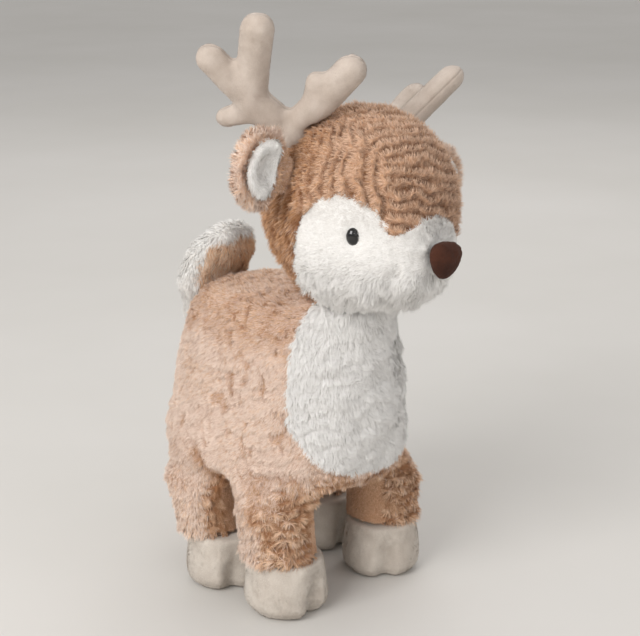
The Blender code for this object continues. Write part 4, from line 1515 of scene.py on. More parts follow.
@dataclass
class SubAssembly:
    """A sewn part of the deer, with the pieces that it has made."""

    pieces: list[Item] = field(default_factory=list, init=False)

    def note(self, item: Item, slot: str = "", node: str = "", fill: float | None = None) -> Item:
        """Keeps a finished piece in the part's list and hides the frame's solid that it stands for.

        Args:
            item: The piece.
            slot: The record's slot for its finish, if it isn't set yet; not used.
            node: The frame's solid that it stands for.
            fill: How full it is stuffed, for a padded piece; not used.

        Returns:
            The piece.
        """
        if node:
            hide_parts(node)
        self.pieces.append(item)
        LOG.info("%s: %d faces", item.name, len(item.data.polygons))
        return item

    def cut(
        self, cover: Cover, node: str, chosen: Array, finish: Finish, slot: str, fill: float | None,
        name: str = "",
    ) -> Item:
        """Args:
            cover: The cover.
            node: The frame's solid that the panel stands for.
            chosen: True for each of its faces.
            finish: Its finish.
            slot: The record's slot for it; not used.
            fill: How full it is stuffed, or None if it isn't; not used.
            name: Its name, if it isn't the solid's with "_cover".

        Returns:
            The panel.
        """
        return self.note(cover.panel(name or f"{node}_cover", chosen, finish.material()), slot, node, fill)

    def ride(self, body: str) -> None:
        """Lets every piece so far that has no body yet ride on one."""
        for item in self.pieces:
            if body_of(item) is None:
                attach(item, body)

    def filling(self, node: str, body: str, shape: Callable[[Sheet], None] | None = None) -> None:
        """Makes the loose filling inside a cover.

        Args:
            node: The filling's solid.
            body: The body it rides on.
            shape: How the cover over it is shaped, where that changes the filling too.
        """
        sheet = Sheet.gathered([node], 0.004)
        sheet.smooth(6)
        if shape is not None:
            shape(sheet)
        sheet.raise_by(-(FILLING_DEPTH + 0.0006 * ripple(sheet.points, 0.012, 301)))
        fine, name = sheet.divided(1), node.replace("filling", "fibre_filling")
        item = new_object(name, fine.points, [fine.faces], [FIBRE_FILLING.material()])
        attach(self.note(item, "polyester_filling", node, 0.7), body)

    def pile(self, name: str, roots: Roots, plush: Plush, seed: int) -> list[Item]:
        """Grows pile, in as many pieces as keep each one light.

        Args:
            name: The pile's name.
            roots: Where it is set.
            plush: The cloth.
            seed: Which set of strays.

        Returns:
            The pieces.
        """
        count = max(1, math.ceil(len(roots.base) / MOST_FIBRES))
        rank = np.argsort(np.argsort(roots.base[:, 2]))
        made = []
        for k in range(count):
            part = (rank * count // len(rank)) == k
            label = name if count == 1 else f"{name}_{k + 1}"
            made.append(self.note(grow(label, roots.chosen(part), plush, seed)))
        return made


def apply_looks(cover: Cover, zones: Array, plushes: list[Plush], sink: float) -> None:
    """Raises a cover by the looks of the plushes on it.

    Args:
        cover: The cover.
        zones: Which plush each corner belongs to.
        plushes: The plushes.
        sink: How far the cloth lies under the frame's surface.
    """
    height, crest = np.zeros(len(cover.base)), np.zeros(len(cover.base))
    for k, plush in enumerate(plushes):
        mask = zones == k
        if mask.any():
            look = plush.look(cover.base[mask], cover.plain[mask])
            height[mask], crest[mask] = look.height, look.crest
    cover.raised(height - sink, crest)


@dataclass
class Body(SubAssembly):
    """The torso and the four legs in one: side panels, chest bib, belly panel, leg panels and fillings."""

    bib_width: float = 0.092
    bib_bottom: float = 0.087
    bib_corner: float = 0.034
    bib_edge_y: float = -0.033
    belly_width: float = 0.060
    belly_top: float = 0.074
    leg_top: float = 0.066
    crotch_drop: float = 0.008
    leg_reach: float = 0.035
    foot_inward: float = 0.0035
    front_foot_forward: float = 0.0038
    hind_foot_forward: float = 0.0137
    leg_bend_end: float = 0.042
    seam_z: float = 0.0343
    ankle: float = 0.0205
    cuff_radius: float = 0.0232
    cuff_core: float = 0.015
    cuff_most: float = 0.004
    cuff_height: tuple[float, float] = (0.042, 0.058)
    girth: tuple[float, float] = (0.055, 0.078)
    girth_y: float = 0.012
    haunch_fill: float = 0.0064
    haunch_z: float = 0.080
    haunch_spread: float = 0.021
    heel_fill: float = 0.0130
    heel_z: float = 0.036
    heel_trim: float = 0.0042
    arch_lift: float = 0.0075
    curl_wrap: float = 0.0060
    neck_seam: float = 0.184
    pile_top: float = 0.1865
    fullness: float = 0.8
    sink: float = 0.0012
    cover: Cover = field(init=False)

    def in_bib(self, points: Array, jitter: Array | float = 0.0) -> Array:
        """Whether places lie on the bib.

        Args:
            points: Places.
            jitter: How far the border wanders there.

        Returns:
            True for each place on it.
        """
        p = sewing(points)
        half, corner = self.bib_width / 2, self.bib_corner
        arc = [math.pi / 2 * k / 8 for k in range(9)]
        low = [(half - corner * (1 - math.sin(t)), self.bib_bottom + corner * (1 - math.cos(t))) for t in arc]
        outline = [(half, 1.0)] + low[::-1] + [(-x, z) for x, z in low] + [(-half, 1.0)]
        x = p[:, 0] - jitter * np.sign(p[:, 0])
        return inside(outline, x, p[:, 2] - jitter) & (p[:, 1] < self.bib_edge_y - jitter)

    def leg_gaps(self, points: Array) -> Array:
        """How far places lie from each leg's middle line, in a row for each leg."""
        flat, height = points[:, :2], points[:, 2]
        return np.stack([np.linalg.norm(flat - self.leg_axis(leg, height), axis=1) for leg in Leg])

    def leg_of(self, points: Array) -> Array:
        """Which leg a place is on, or -1 for the torso."""
        gaps = self.leg_gaps(points)
        height, near = points[:, 2], gaps.min(axis=0) < self.leg_reach
        on_leg = (height < self.leg_top - self.crotch_drop) | ((height < self.leg_top) & near)
        return np.where(on_leg, gaps.argmin(axis=0), -1)

    def inner_side(self, points: Array, leg: Leg) -> Array:
        """How far places lie to the inner side of a leg's seams."""
        turn = math.radians(leg.value)
        off = points[:, :2] - self.leg_axis(leg, points[:, 2])
        return -(off[:, 0] * math.cos(turn) + off[:, 1] * math.sin(turn)) * leg.side.value

    def zones(self, points: Array, jitter: Array | float = 0.0) -> Array:
        """The Zone at each place, with borders that wander by the jitter there."""
        p = sewing(points)
        found = np.full(len(points), Zone.SIDE)
        found[self.in_bib(points, jitter)] = Zone.BIB
        found[(np.abs(p[:, 0]) < self.belly_width / 2) & (p[:, 2] < self.belly_top - jitter)] = Zone.BELLY
        legs = self.leg_of(points)
        for k, leg in enumerate(Leg):
            mask = legs == k
            found[mask] = np.where(self.inner_side(points[mask], leg) > 0.0, Zone.INNER_LEG, Zone.OUTER_LEG)
        return found

    def shape(self, sheet: Sheet) -> None:
        """Lets the flanks run into the legs, draws the underside up and brings the legs down full."""
        p = sewing(sheet.points)
        girth = np.hypot(p[:, 0] / self.girth[0], (p[:, 1] - self.girth_y) / self.girth[1])
        band = step(0.040, 0.055, p[:, 2]) * (1 - step(0.115, 0.150, p[:, 2]))
        arch = 1 - 0.9 * np.exp(-(((p[:, 1] - 0.010) / 0.013) ** 2))
        sheet.fill(120, step(0.78, 0.95, girth) * band * arch)
        out, height = sheet.normals(), sheet.points[:, 2]
        flank = step(0.0, 0.5, out[:, 1] + 0.4 * np.abs(out[:, 0])) * step(-0.8, -0.3, out[:, 2])
        haunch = np.exp(-(((height - self.haunch_z) / self.haunch_spread) ** 2)) * step(0.050, 0.066, height)
        haunch = haunch * (1 - 0.6 * step(0.75, 1.0, out[:, 1]))
        wider = self.haunch_fill * flank * haunch * step(0.7, 0.9, girth)
        sheet.points = sheet.points + out * (1, 1, 0) * wider[:, None]
        self.arch(sheet)
        points, apart = sheet.points, np.abs(p[:, 0])
        back, height = points[:, 1], points[:, 2]
        heel = np.clip((height - self.heel_z) / self.heel_z, 0, 1) ** 2 * (1 - step(0.062, 0.079, height))
        behind = step(0.052, 0.070, back) * (1 - step(0.084, 0.106, back)) * step(0.026, 0.040, apart)
        points[:, 1] += self.heel_fill * heel * behind * (1 - step(0.036, 0.054, apart))
        self.cuff(sheet)
        self.trim(sheet)

    def cuff(self, sheet: Sheet) -> None:
        """Widens each leg's end into a cuff over its hoof."""
        points = sheet.points
        legs = self.leg_of(points)
        cuff_low, cuff_high = self.cuff_height
        for k, leg in enumerate(Leg):
            near = (legs == k) & (points[:, 2] < cuff_high)
            axis = self.leg_axis(leg, points[near, 2])
            off = points[near, :2] - axis
            reach = np.linalg.norm(off, axis=1)
            cuff = 1 - step(cuff_low, cuff_high, points[near, 2])
            outer, inner = np.maximum(reach, self.cuff_radius), reach * self.cuff_radius / self.ankle
            wide = np.where(reach > self.cuff_core, outer, inner)
            wider = np.minimum(wide, reach + self.cuff_most) / np.maximum(reach, 1e-6)
            points[near, :2] = axis + off * (1 + cuff * (wider - 1))[:, None]

    def trim(self, sheet: Sheet) -> None:
        """Draws the back of each hind leg in, so that it comes down flush over its hoof."""
        points = sheet.points
        for leg in (Leg.HIND_LEFT, Leg.HIND_RIGHT):
            off = points[:, :2] - self.leg_axis(leg, points[:, 2])
            near = 1 - step(0.030, 0.040, np.linalg.norm(off, axis=1))
            behind = step(0.0, 0.018, off[:, 1]) * (1 - step(0.052, 0.070, points[:, 2]))
            points[:, 1] -= self.heel_trim * near * behind

    def arch(self, sheet: Sheet) -> None:
        """Draws the underside up between the legs."""
        gap, height = self.leg_gaps(sheet.points).min(axis=0), sheet.points[:, 2]
        under = step(0.022, 0.034, gap) * (1 - step(0.062, 0.096, height)) * step(0.036, 0.046, height)
        sheet.points = sheet.points + np.outer(self.arch_lift * under, (0.0, 0.0, 1.0))

    def leg_axis(self, leg: Leg, height: Array) -> Array:
        """The middle of a leg at each height."""
        share = np.clip(height / leg.hip.z, 0, 1)[:, None]
        forward = self.front_foot_forward if leg.front else self.hind_foot_forward
        foot = np.array([leg.hip.x - self.foot_inward * leg.side.value, leg.hip.y - forward])
        return foot + share * (np.array(leg.hip[:2]) - foot)

    def held(self, points: Array) -> Array:
        """Whether places lie on the seams that the filling doesn't move."""
        return (points[:, 2] < self.seam_z + 0.003) | (points[:, 2] > self.neck_seam)

    def build(self) -> None:
        """Makes the covers, the pile and the fillings."""
        nodes = ["torso_side_left", "torso_side_right", "chest_bib", "belly_panel", "torso_filling"]
        for leg in Leg:
            nodes += [f"leg_outer_{leg.word}", f"leg_inner_{leg.word}", f"leg_filling_{leg.word}"]
        self.cover = Cover.sewn(
            nodes, voxel=0.0036, rounds=30, levels=2, held=self.held, cap=0.0015, pressure=1.5, inset=0.0005,
            shape=self.shape,
        )
        zones = self.zones(self.cover.base)
        apply_looks(self.cover, zones, [BODY, BIB, INNER, LEG, INNER], self.sink)
        middles = self.cover.middles()
        kinds, legs, left = self.zones(middles), self.leg_of(middles), sewing(middles)[:, 0] > 0
        self.panels(kinds, legs, left)
        self.grow_torso((legs < 0) & (middles[:, 2] <= self.pile_top))
        for k, leg in enumerate(Leg):
            self.grow_leg(leg, (legs == k) & (middles[:, 2] > self.seam_z + 0.0004))
        self.filling("torso_filling", "torso", self.arch)
        for leg in Leg:
            self.filling(f"leg_filling_{leg.word}", f"leg_{leg.word}", self.trim)

    def panels(self, kinds: Array, legs: Array, left: Array) -> None:
        """Cuts the cover into its panels.

        Args:
            kinds: The Zone of each face.
            legs: The leg of each face, or -1.
            left: True for each face on the deer's left.
        """
        torso = legs < 0
        for node, chosen, backing, slot in (
            ("torso_side_left", (kinds == Zone.SIDE) & left, TAN_BACKING, "body_plush"),
            ("torso_side_right", (kinds == Zone.SIDE) & ~left, TAN_BACKING, "body_plush"),
            ("chest_bib", kinds == Zone.BIB, WHITE_BACKING, "white_plush"),
            ("belly_panel", kinds >= Zone.BELLY, SHORT_BACKING, "short_pile"),
        ):
            self.cut(self.cover, node, torso & chosen, backing, slot, self.fullness)
        self.ride("torso")
        layers = (
            ("outer", Zone.OUTER_LEG, TAN_BACKING, "body_plush"),
            ("inner", Zone.INNER_LEG, SHORT_BACKING, "short_pile"),
        )
        for (k, leg), (layer, kind, backing, slot) in product(enumerate(Leg), layers):
            node, chosen = f"leg_{layer}_{leg.word}", (legs == k) & (kinds == kind)
            self.bend(self.cut(self.cover, node, chosen, backing, slot, self.fullness), leg)

    def bend(self, item: Item, leg: Leg) -> None:
        """Lets a piece bend at a leg's seam."""
        hip = leg.hip
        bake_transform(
            item, "torso", f"leg_{leg.word}", (hip.x, hip.y, self.leg_top), (hip.x, hip.y, self.leg_bend_end)
        )

    def grow_torso(self, faces: Array) -> None:
        """Grows the torso's pile on its faces."""
        roots = set_roots(self.cover, faces, BODY.fibre.per_mm2, 1)
        wander = 0.0016 * ripple(roots.base, 0.0035, 401) + 0.0008 * ripple(roots.base, 0.0012, 402)
        kinds = self.zones(roots.base, wander)
        left = sewing(roots.base)[:, 0] > 0
        self.pile("side_plush_left", roots.chosen((kinds == Zone.SIDE) & left), BODY, 2)
        self.pile("side_plush_right", roots.chosen((kinds == Zone.SIDE) & ~left), BODY, 3)
        self.pile("chest_bib_plush", roots.chosen(kinds == Zone.BIB), BIB, 4)
        self.pile("belly_plush", roots.chosen(kinds >= Zone.BELLY), INNER, 5)
        self.ride("torso")

    def grow_leg(self, leg: Leg, faces: Array) -> None:
        """Grows a leg's pile on its faces."""
        seed = 10 + list(Leg).index(leg)
        roots = set_roots(self.cover, faces, LEG.fibre.per_mm2, seed)
        inner = self.inner_side(roots.base, leg) + 0.0006 * ripple(roots.base, 0.003, 403)
        wrap = self.curl_wrap if leg.side is Side.RIGHT else 0.0
        made = self.pile(f"outer_plush_{leg.word}", roots.chosen(inner < wrap), LEG, seed)
        made += self.pile(f"inner_plush_{leg.word}", roots.chosen(inner > wrap + 0.0010), INNER, seed)
        for item in made:
            self.bend(item, leg)


@dataclass
class Head(SubAssembly):
    """The head: side panels, gusset, face patches, muzzle strip, filling, nose and eyes."""

    sink: float = 0.0010
    neck_seam: float = 0.190
    pile_bottom: float = 0.1885
    fringe_height: tuple[float, float] = (0.187, 0.212)
    per_mm2: float = 2.6
    fullness: float = 0.85
    bridge_top: float = -0.02
    jowl_fill: float = 0.0028
    chin_tuck: float = 0.0040
    antler_root: float = 0.0076
    eye_radius: float = 0.0050
    eye_sink: float = 0.0021
    eye_drop: float = 0.0026
    eye_press: float = 0.0026
    eye_press_reach: tuple[float, float, float] = (0.0042, 0.0074, 0.012)
    eye_way: tuple[float, float] = (50.0, -13.0)
    cover: Cover = field(init=False)

    def face_outline(self) -> list[tuple[float, float]]:
        """The border of the face patch, forward and up, of the head's radius."""
        return [
            (-0.20, -1.60), (-0.08, -0.75), (0.02, -0.40), (0.14, -0.14), (0.32, 0.06), (0.52, 0.13),
            (0.70, 0.08), (0.84, -0.06), (0.92, -0.12), (2.00, -0.12), (2.00, -1.60),
        ]

    def zones(self, points: Array, jitter: Array | float = 0.0) -> Array:
        """The HeadZone at each place, with borders that wander by the jitter there."""
        p = HEAD.place.local(points)
        u = p / HEAD.radius
        jitter = jitter / HEAD.radius
        middle = np.abs(p[:, 0]) < CROWN.gusset
        arch = self.bridge_top + 0.10 * np.cos(np.clip(u[:, 0] / 0.52, -1, 1) * math.pi) - 0.06
        white = inside(self.face_outline(), -u[:, 1] + jitter, u[:, 2] + jitter)
        front = (u[:, 1] < 0.0) & (u[:, 2] < arch - jitter)
        strip = np.where(front, HeadZone.MUZZLE, HeadZone.GUSSET)
        return np.where(middle, strip, np.where(white, HeadZone.FACE, HeadZone.SIDE))

    def build(self) -> None:
        """Makes the cover, the pile, the face and the filling."""
        nodes = ["head_gusset", "muzzle_strip"]
        nodes += ["head_side_left", "head_side_right", "face_left", "face_right", "head_filling"]
        self.cover = Cover.sewn(
            nodes, voxel=0.0034, rounds=30, levels=2, held=self.held, cap=0.0012, pressure=1.5, inset=0.0004,
            shape=self.jowls,
        )
        zones = self.zones(self.cover.base)
        self.press_eyes()
        apply_looks(self.cover, zones, [CROWN, FACE, CROWN, FACE], self.sink)
        middles = self.cover.middles()
        kinds, left = self.zones(middles), HEAD.place.local(middles)[:, 0] > 0
        for node, chosen, slot, backing in (
            ("head_gusset", kinds == HeadZone.GUSSET, "head_plush", HEAD_BACKING),
            ("muzzle_strip", kinds == HeadZone.MUZZLE, "white_plush", WHITE_BACKING),
            ("head_side_left", (kinds == HeadZone.SIDE) & left, "head_plush", HEAD_BACKING),
            ("head_side_right", (kinds == HeadZone.SIDE) & ~left, "head_plush", HEAD_BACKING),
            ("face_left", (kinds == HeadZone.FACE) & left, "white_plush", WHITE_BACKING),
            ("face_right", (kinds == HeadZone.FACE) & ~left, "white_plush", WHITE_BACKING),
        ):
            self.cut(self.cover, node, chosen, backing, slot, self.fullness)
        roots = set_roots(self.cover, middles[:, 2] > self.pile_bottom, self.per_mm2, 21)
        wander = 0.0020 * ripple(roots.base, 0.0045, 411) + 0.0008 * ripple(roots.base, 0.0014, 412)
        roots, kinds = self.clear_trim(roots, self.zones(roots.base, wander))
        left = HEAD.place.local(roots.base)[:, 0] > 0
        self.pile("gusset_plush", roots.chosen(kinds == HeadZone.GUSSET), CROWN, 22)
        self.pile("muzzle_plush", roots.chosen(kinds == HeadZone.MUZZLE), FACE, 23)
        for side in Side:
            word, half = side.word, left == (side is Side.LEFT)
            self.pile(f"head_side_plush_{word}", roots.chosen((kinds == HeadZone.SIDE) & half), CROWN, 24)
            self.pile(f"face_plush_{word}", roots.chosen((kinds == HeadZone.FACE) & half), FACE, 25)
        self.jaw_fringe()
        self.filling("head_filling", "head")
        self.nose()
        for side in Side:
            self.eye(side)
            washer = frame["nodes"][f"eye_washer_{side.word}"].data.materials
            washer.clear()
            washer.append(WASHER_PLASTIC.material())
        self.ride("head")

    def held(self, points: Array) -> Array:
        """Whether places lie below the neck's seam, where the filling doesn't move the cloth."""
        return points[:, 2] < self.neck_seam

    def jowls(self, sheet: Sheet) -> None:
        """Lets the stuffed jaw hang fuller over the chest, and the chin tuck in under the nose."""
        u = HEAD.place.local(sheet.points) / HEAD.radius
        ahead = -u[:, 1]
        low = np.exp(-(((u[:, 2] + 0.72) / 0.22) ** 2))
        share = step(-0.25, 0.25, ahead) * (1 - step(0.55, 0.80, ahead)) * low
        tuck = step(0.60, 1.00, ahead) * (1 - step(-0.80, -0.50, u[:, 2]))
        sheet.raise_by(self.jowl_fill * share)
        sheet.points = sheet.points + np.outer(self.chin_tuck * tuck, HEAD.place.axis(2))

    def jaw_fringe(self) -> None:
        """Grows the loose tufts that hang from the jaw over the chest."""
        height = self.cover.middles()[:, 2]
        low, high = self.fringe_height
        roots = set_roots(self.cover, (height > low) & (height < high), FRINGE.fibre.per_mm2, 26)
        kinds = self.zones(roots.base, 0.0020 * ripple(roots.base, 0.0045, 411))
        loose = ripple(roots.base, 0.0060, 413) > -0.25
        under = (roots.plain[:, 2] < 0.0) & (roots.plain[:, 2] > -0.97)
        white = (kinds == HeadZone.MUZZLE) | (kinds == HeadZone.FACE)
        self.pile("jaw_fringe", roots.chosen(white & loose & under), FRINGE, 27)

    def eye_place(self, side: Side) -> Place:
        """The frame of an eye, with Z along its shank, out of the head."""
        centre, _ = box_of(f"eye_{side.word}")
        toward = HEAD.toward(side.value * self.eye_way[0], self.eye_way[1])
        out = HEAD.place.matrix.to_3x3() @ toward
        across = Vector((0.0, 0.0, 1.0)).cross(out).normalized()
        turn = along(across, out.cross(across), out)
        middle = Vector(centre) - out.cross(across) * self.eye_drop
        p = HEAD.place.local(self.cover.base)
        way = np.array(toward)
        off = p - np.outer(p @ way, way)
        seat = HEAD.place.local(np.array([middle]))[0]
        near = np.linalg.norm(off - (seat - way * (seat @ way)), axis=1)
        near[p @ way < 0] = FAR
        spot = self.cover.base[near.argmin()]
        return Place(Matrix.Translation(Vector(spot)) @ turn)

    def press_eyes(self) -> None:
        """Pulls the cover in round the eyes' shanks."""
        depth = np.zeros(len(self.cover.base))
        for side in Side:
            q = self.eye_place(side).local(self.cover.base)
            x, y, z = (q / self.eye_press_reach).T
            near = np.exp(-(x**2) - y**2 - z**2)
            depth += self.eye_press * near
        self.cover.reshape(-depth)

    def clear_trim(self, roots: Roots, kinds: Array) -> tuple[Roots, Array]:
        """Leaves out the roots under the eyes, the nose, the ears and the antlers."""
        keep = np.ones(len(kinds), bool)
        for side in Side:
            q = HEAD.antler(side).local(roots.place)
            keep &= (np.hypot(q[:, 0], q[:, 1]) > self.antler_root) | (q[:, 2] < -0.012)
            q = HEAD.ear(side).local(roots.place)
            keep &= (np.hypot(q[:, 0] / 0.011, q[:, 1] / 0.0030) > 1) | (q[:, 2] < -0.012)
            q = self.eye_place(side).local(roots.place)
            opening = np.hypot(q[:, 0] / 0.60, q[:, 1] / 1.16) + np.where(np.abs(q[:, 2]) < 0.008, 0, 1)
            keep &= opening > self.eye_radius
        middle, half = box_of("nose")
        q = (roots.place - middle) / half
        keep &= (np.hypot(q[:, 0], q[:, 2]) > 0.80) | (roots.place[:, 1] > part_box("nose")[1][1] + 0.004)
        return roots.chosen(keep), kinds[keep]

    def nose(self) -> None:
        """Makes the padded nose."""
        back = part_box("nose")[1][1]
        cover = Cover.sewn(
            ["nose"], voxel=0.0011, rounds=14, levels=2, held=lambda p: p[:, 1] > back - 0.0022, cap=0.0008,
            pressure=3.0,
        )
        p = cover.base
        rim = step(-0.0034, -0.0012, p[:, 1] - back)
        lift = 0.0003 + 0.00022 * ripple(p, 0.0030, 501) + 0.00014 * ripple(p, 0.0011, 502)
        cover.raised(lift, np.ones(len(p)))
        cover.marks["seam"] = 0.75 * rim
        self.cut(cover, "nose", np.ones(len(cover.faces), bool), NOSE_CLOTH, "nose_fabric", 0.7, "nose_pad")

    def eye(self, side: Side) -> None:
        """Makes one glossy eye: a domed bead with a thin rim, on its shank."""
        r = self.eye_radius
        profile = [
            (0.0, 0.66), (0.22, 0.645), (0.45, 0.585), (0.65, 0.475), (0.82, 0.31), (0.94, 0.10),
            (1.0, -0.12), (0.985, -0.24), (0.90, -0.33), (0.55, -0.40), (0.36, -0.46), (0.36, -1.10),
            (0.30, -1.35), (0.0, -1.38),
        ]
        place = self.eye_place(side)
        turns = 48
        angle = np.arange(turns) * 2 * np.pi / turns
        rows = []
        for radius, height in profile[1:-1]:
            x, y = r * radius * 0.84 * np.cos(angle), r * radius * 1.12 * np.sin(angle)
            rows.append(np.stack([x, y, np.full(turns, r * height)], axis=1))
        points = np.concatenate(rows + [[[0, 0, r * profile[0][1]]], [[0, 0, r * profile[-1][1]]]])
        top, bottom, last = len(points) - 2, len(points) - 1, (len(rows) - 1) * turns
        quads = [
            (row + j, row + turns + j, row + turns + (j + 1) % turns, row + (j + 1) % turns)
            for row, j in product(range(0, last, turns), range(turns))
        ]
        ends = [(j, j + 1, (j + 2) % turns) for j in range(0, turns, 2)]
        quads += [(top, a, b, c) for a, b, c in ends]
        quads += [(bottom, last + c, last + b, last + a) for a, b, c in ends]
        points = place.world(points - (0.0, 0.0, self.eye_sink))
        item = new_object(f"eye_bead_{side.word}", points, [np.array(quads)], [EYE_GLOSS.material()])
        finer = item.modifiers.new("finer", "SUBSURF")
        finer.levels = finer.render_levels = 1
        self.note(item, "eye_gloss", f"eye_{side.word}")


@dataclass
class Ear(SubAssembly):
    """One ear: a tan outer with a fluffy rim, and a white lining in its cup."""

    side: Side = Side.LEFT
    lining_wide: float = 0.0156
    lining_half: float = 0.0092
    lining_middle: float = 0.0182
    rim_fill: float = 0.0010
    per_mm2: float = 3.2

    def lined(self, points: Array, normals: Array, jitter: Array | float = 0.0) -> Array:
        """Whether places lie on the lining.

        Args:
            points: Places on the ear.
            normals: The outward directions there.
            jitter: How far the border wanders there, of the lining's size.

        Returns:
            True for each place on it.
        """
        place = HEAD.ear(self.side)
        q = place.local(points)
        oval = np.hypot(q[:, 0] / self.lining_wide, (q[:, 2] - self.lining_middle) / self.lining_half)
        return (q[:, 1] < 0.0018) & (oval < 1.0 + jitter) & (normals @ place.axis(1) < 0.1)

    def build(self) -> None:
        """Makes the cover, the lining and the pile."""
        word = self.side.word
        cover = Cover.sewn([f"ear_outer_{word}", f"ear_lining_{word}"], voxel=0.0016, rounds=14)
        q = HEAD.ear(self.side).local(cover.base)
        oval = np.hypot(q[:, 0] / 0.0160, (q[:, 2] - 0.0160) / 0.0140)
        cover.reshape(self.rim_fill * step(0.8, 1.15, oval) * step(0.006, 0.014, q[:, 2]))
        white = self.lined(cover.base, cover.plain)
        apply_looks(cover, white.astype(int), [EAR, LINING], 0.0)
        middles = cover.middles()
        inner = self.lined(middles, cover.plain[cover.faces[:, 0]])
        self.cut(cover, f"ear_outer_{word}", ~inner, TAN_BACKING, "head_plush", None)
        self.cut(cover, f"ear_lining_{word}", inner, WHITE_BACKING, "white_plush", None)
        seed = 31 if self.side is Side.LEFT else 32
        roots = set_roots(cover, np.ones(len(middles), bool), self.per_mm2, seed)
        inner = self.lined(roots.base, roots.plain, 0.10 * ripple(roots.base, 0.003, 421))
        clear = np.linalg.norm(HEAD.place.local(roots.base), axis=1) > HEAD.radius - 0.001
        self.pile(f"ear_plush_{word}", roots.chosen(~inner & clear), EAR, seed)
        self.pile(f"ear_lining_plush_{word}", roots.chosen(inner & clear), LINING, seed)
        self.ride(f"ear_{word}")


@dataclass
class Antler(SubAssembly):
    """One antler: a front and a back panel, with a seam round the edge."""

    side: Side = Side.LEFT
    seam_half: float = 0.0003

    def held(self, points: Array) -> Array:
        """Whether places lie by the seam, where the filling doesn't move the cloth."""
        return np.abs(HEAD.antler(self.side).local(points)[:, 1]) < 0.0012

    def build(self) -> None:
        """Makes the two panels and their nap."""
        word, place = self.side.word, HEAD.antler(self.side)
        names = [f"antler_front_{word}", f"antler_back_{word}"]
        cover = Cover.sewn(
            names, voxel=0.0021, rounds=16, levels=2, held=self.held, cap=0.0010, pressure=3.0, inset=0.0003
        )
        y = place.local(cover.base)[:, 1]
        groove = np.exp(-((y / 0.0006) ** 2))
        folds = ripple(cover.base, 0.010, 601)
        cover.raised(0.0004 + 0.0003 * folds - 0.0003 * groove, np.ones(len(y)))
        cover.marks["seam"] = 0.35 * np.exp(-((y / 0.0004) ** 2))
        back = place.local(cover.middles())[:, 1] > 0
        for name, chosen in zip(names, (~back, back)):
            self.cut(cover, name, chosen, ANTLER_CLOTH, "antler_velboa", 0.9)
        roots = set_roots(cover, np.ones(len(back), bool), ANTLER_NAP.fibre.per_mm2, 51)
        off_seam = np.abs(place.local(roots.base)[:, 1]) > self.seam_half
        clear = np.linalg.norm(HEAD.place.local(roots.base), axis=1) > HEAD.radius
        self.pile(f"antler_nap_{word}", roots.chosen(clear & off_seam), ANTLER_NAP, 52)
        self.ride(f"antler_{word}")


@dataclass
class Hoof(SubAssembly):
    """One stuffed hoof, with a cleft toe and a seam round its sole."""

    leg: Leg = Leg.FRONT_LEFT
    sole_seam: float = 0.0040
    seam_half: float = 0.0003
    sole_round: float = 0.10
    sole_edge: float = 0.0080
    flat: float = 0.0004
    ankle: float = 0.0325

    def build(self) -> None:
        """Makes the cover and its nap."""
        node = f"hoof_{self.leg.word}"
        cover = Cover.sewn(
            [node], voxel=0.0021, rounds=34, levels=2, held=self.held, cap=0.0013, pressure=3.0
        )
        p = cover.base
        p[:, 2] = np.where(p[:, 2] < self.flat, 0.0, p[:, 2])
        middle = box_of(node)[0][:2]
        narrow = self.sole_round * np.clip(1 - p[:, 2] / self.sole_edge, 0, 1) ** 2
        p[:, :2] = middle + (p[:, :2] - middle) * (1 - narrow)[:, None]
        seam = np.exp(-(((p[:, 2] - self.sole_seam) / 0.0007) ** 2))
        lift = 0.0003 + 0.0005 * ripple(p, 0.010, 611) - 0.0002 * seam
        cover.raised(lift * step(self.flat, 0.0020, p[:, 2]), np.ones(len(p)))
        cover.marks["seam"] = 0.15 * seam
        self.cut(cover, node, np.ones(len(cover.faces), bool), HOOF_CLOTH, "hoof_velboa", 0.9)
        roots = set_roots(cover, cover.middles()[:, 2] > 0.0008, HOOF_NAP.fibre.per_mm2, 61)
        z = roots.base[:, 2]
        clear = ((z < 0.0335) | (roots.plain[:, 2] < 0.9)) & (np.abs(z - self.sole_seam) > self.seam_half)
        self.pile(f"hoof_nap_{self.leg.word}", roots.chosen(clear), HOOF_NAP, 62)
        self.ride(f"leg_{self.leg.word}")

    def held(self, points: Array) -> Array:
        """Whether places lie on the sole, the sole's seam or the ankle."""
        z = points[:, 2]
        return (z < 0.0012) | (np.abs(z - self.sole_seam) < 0.0010) | (z > self.ankle)


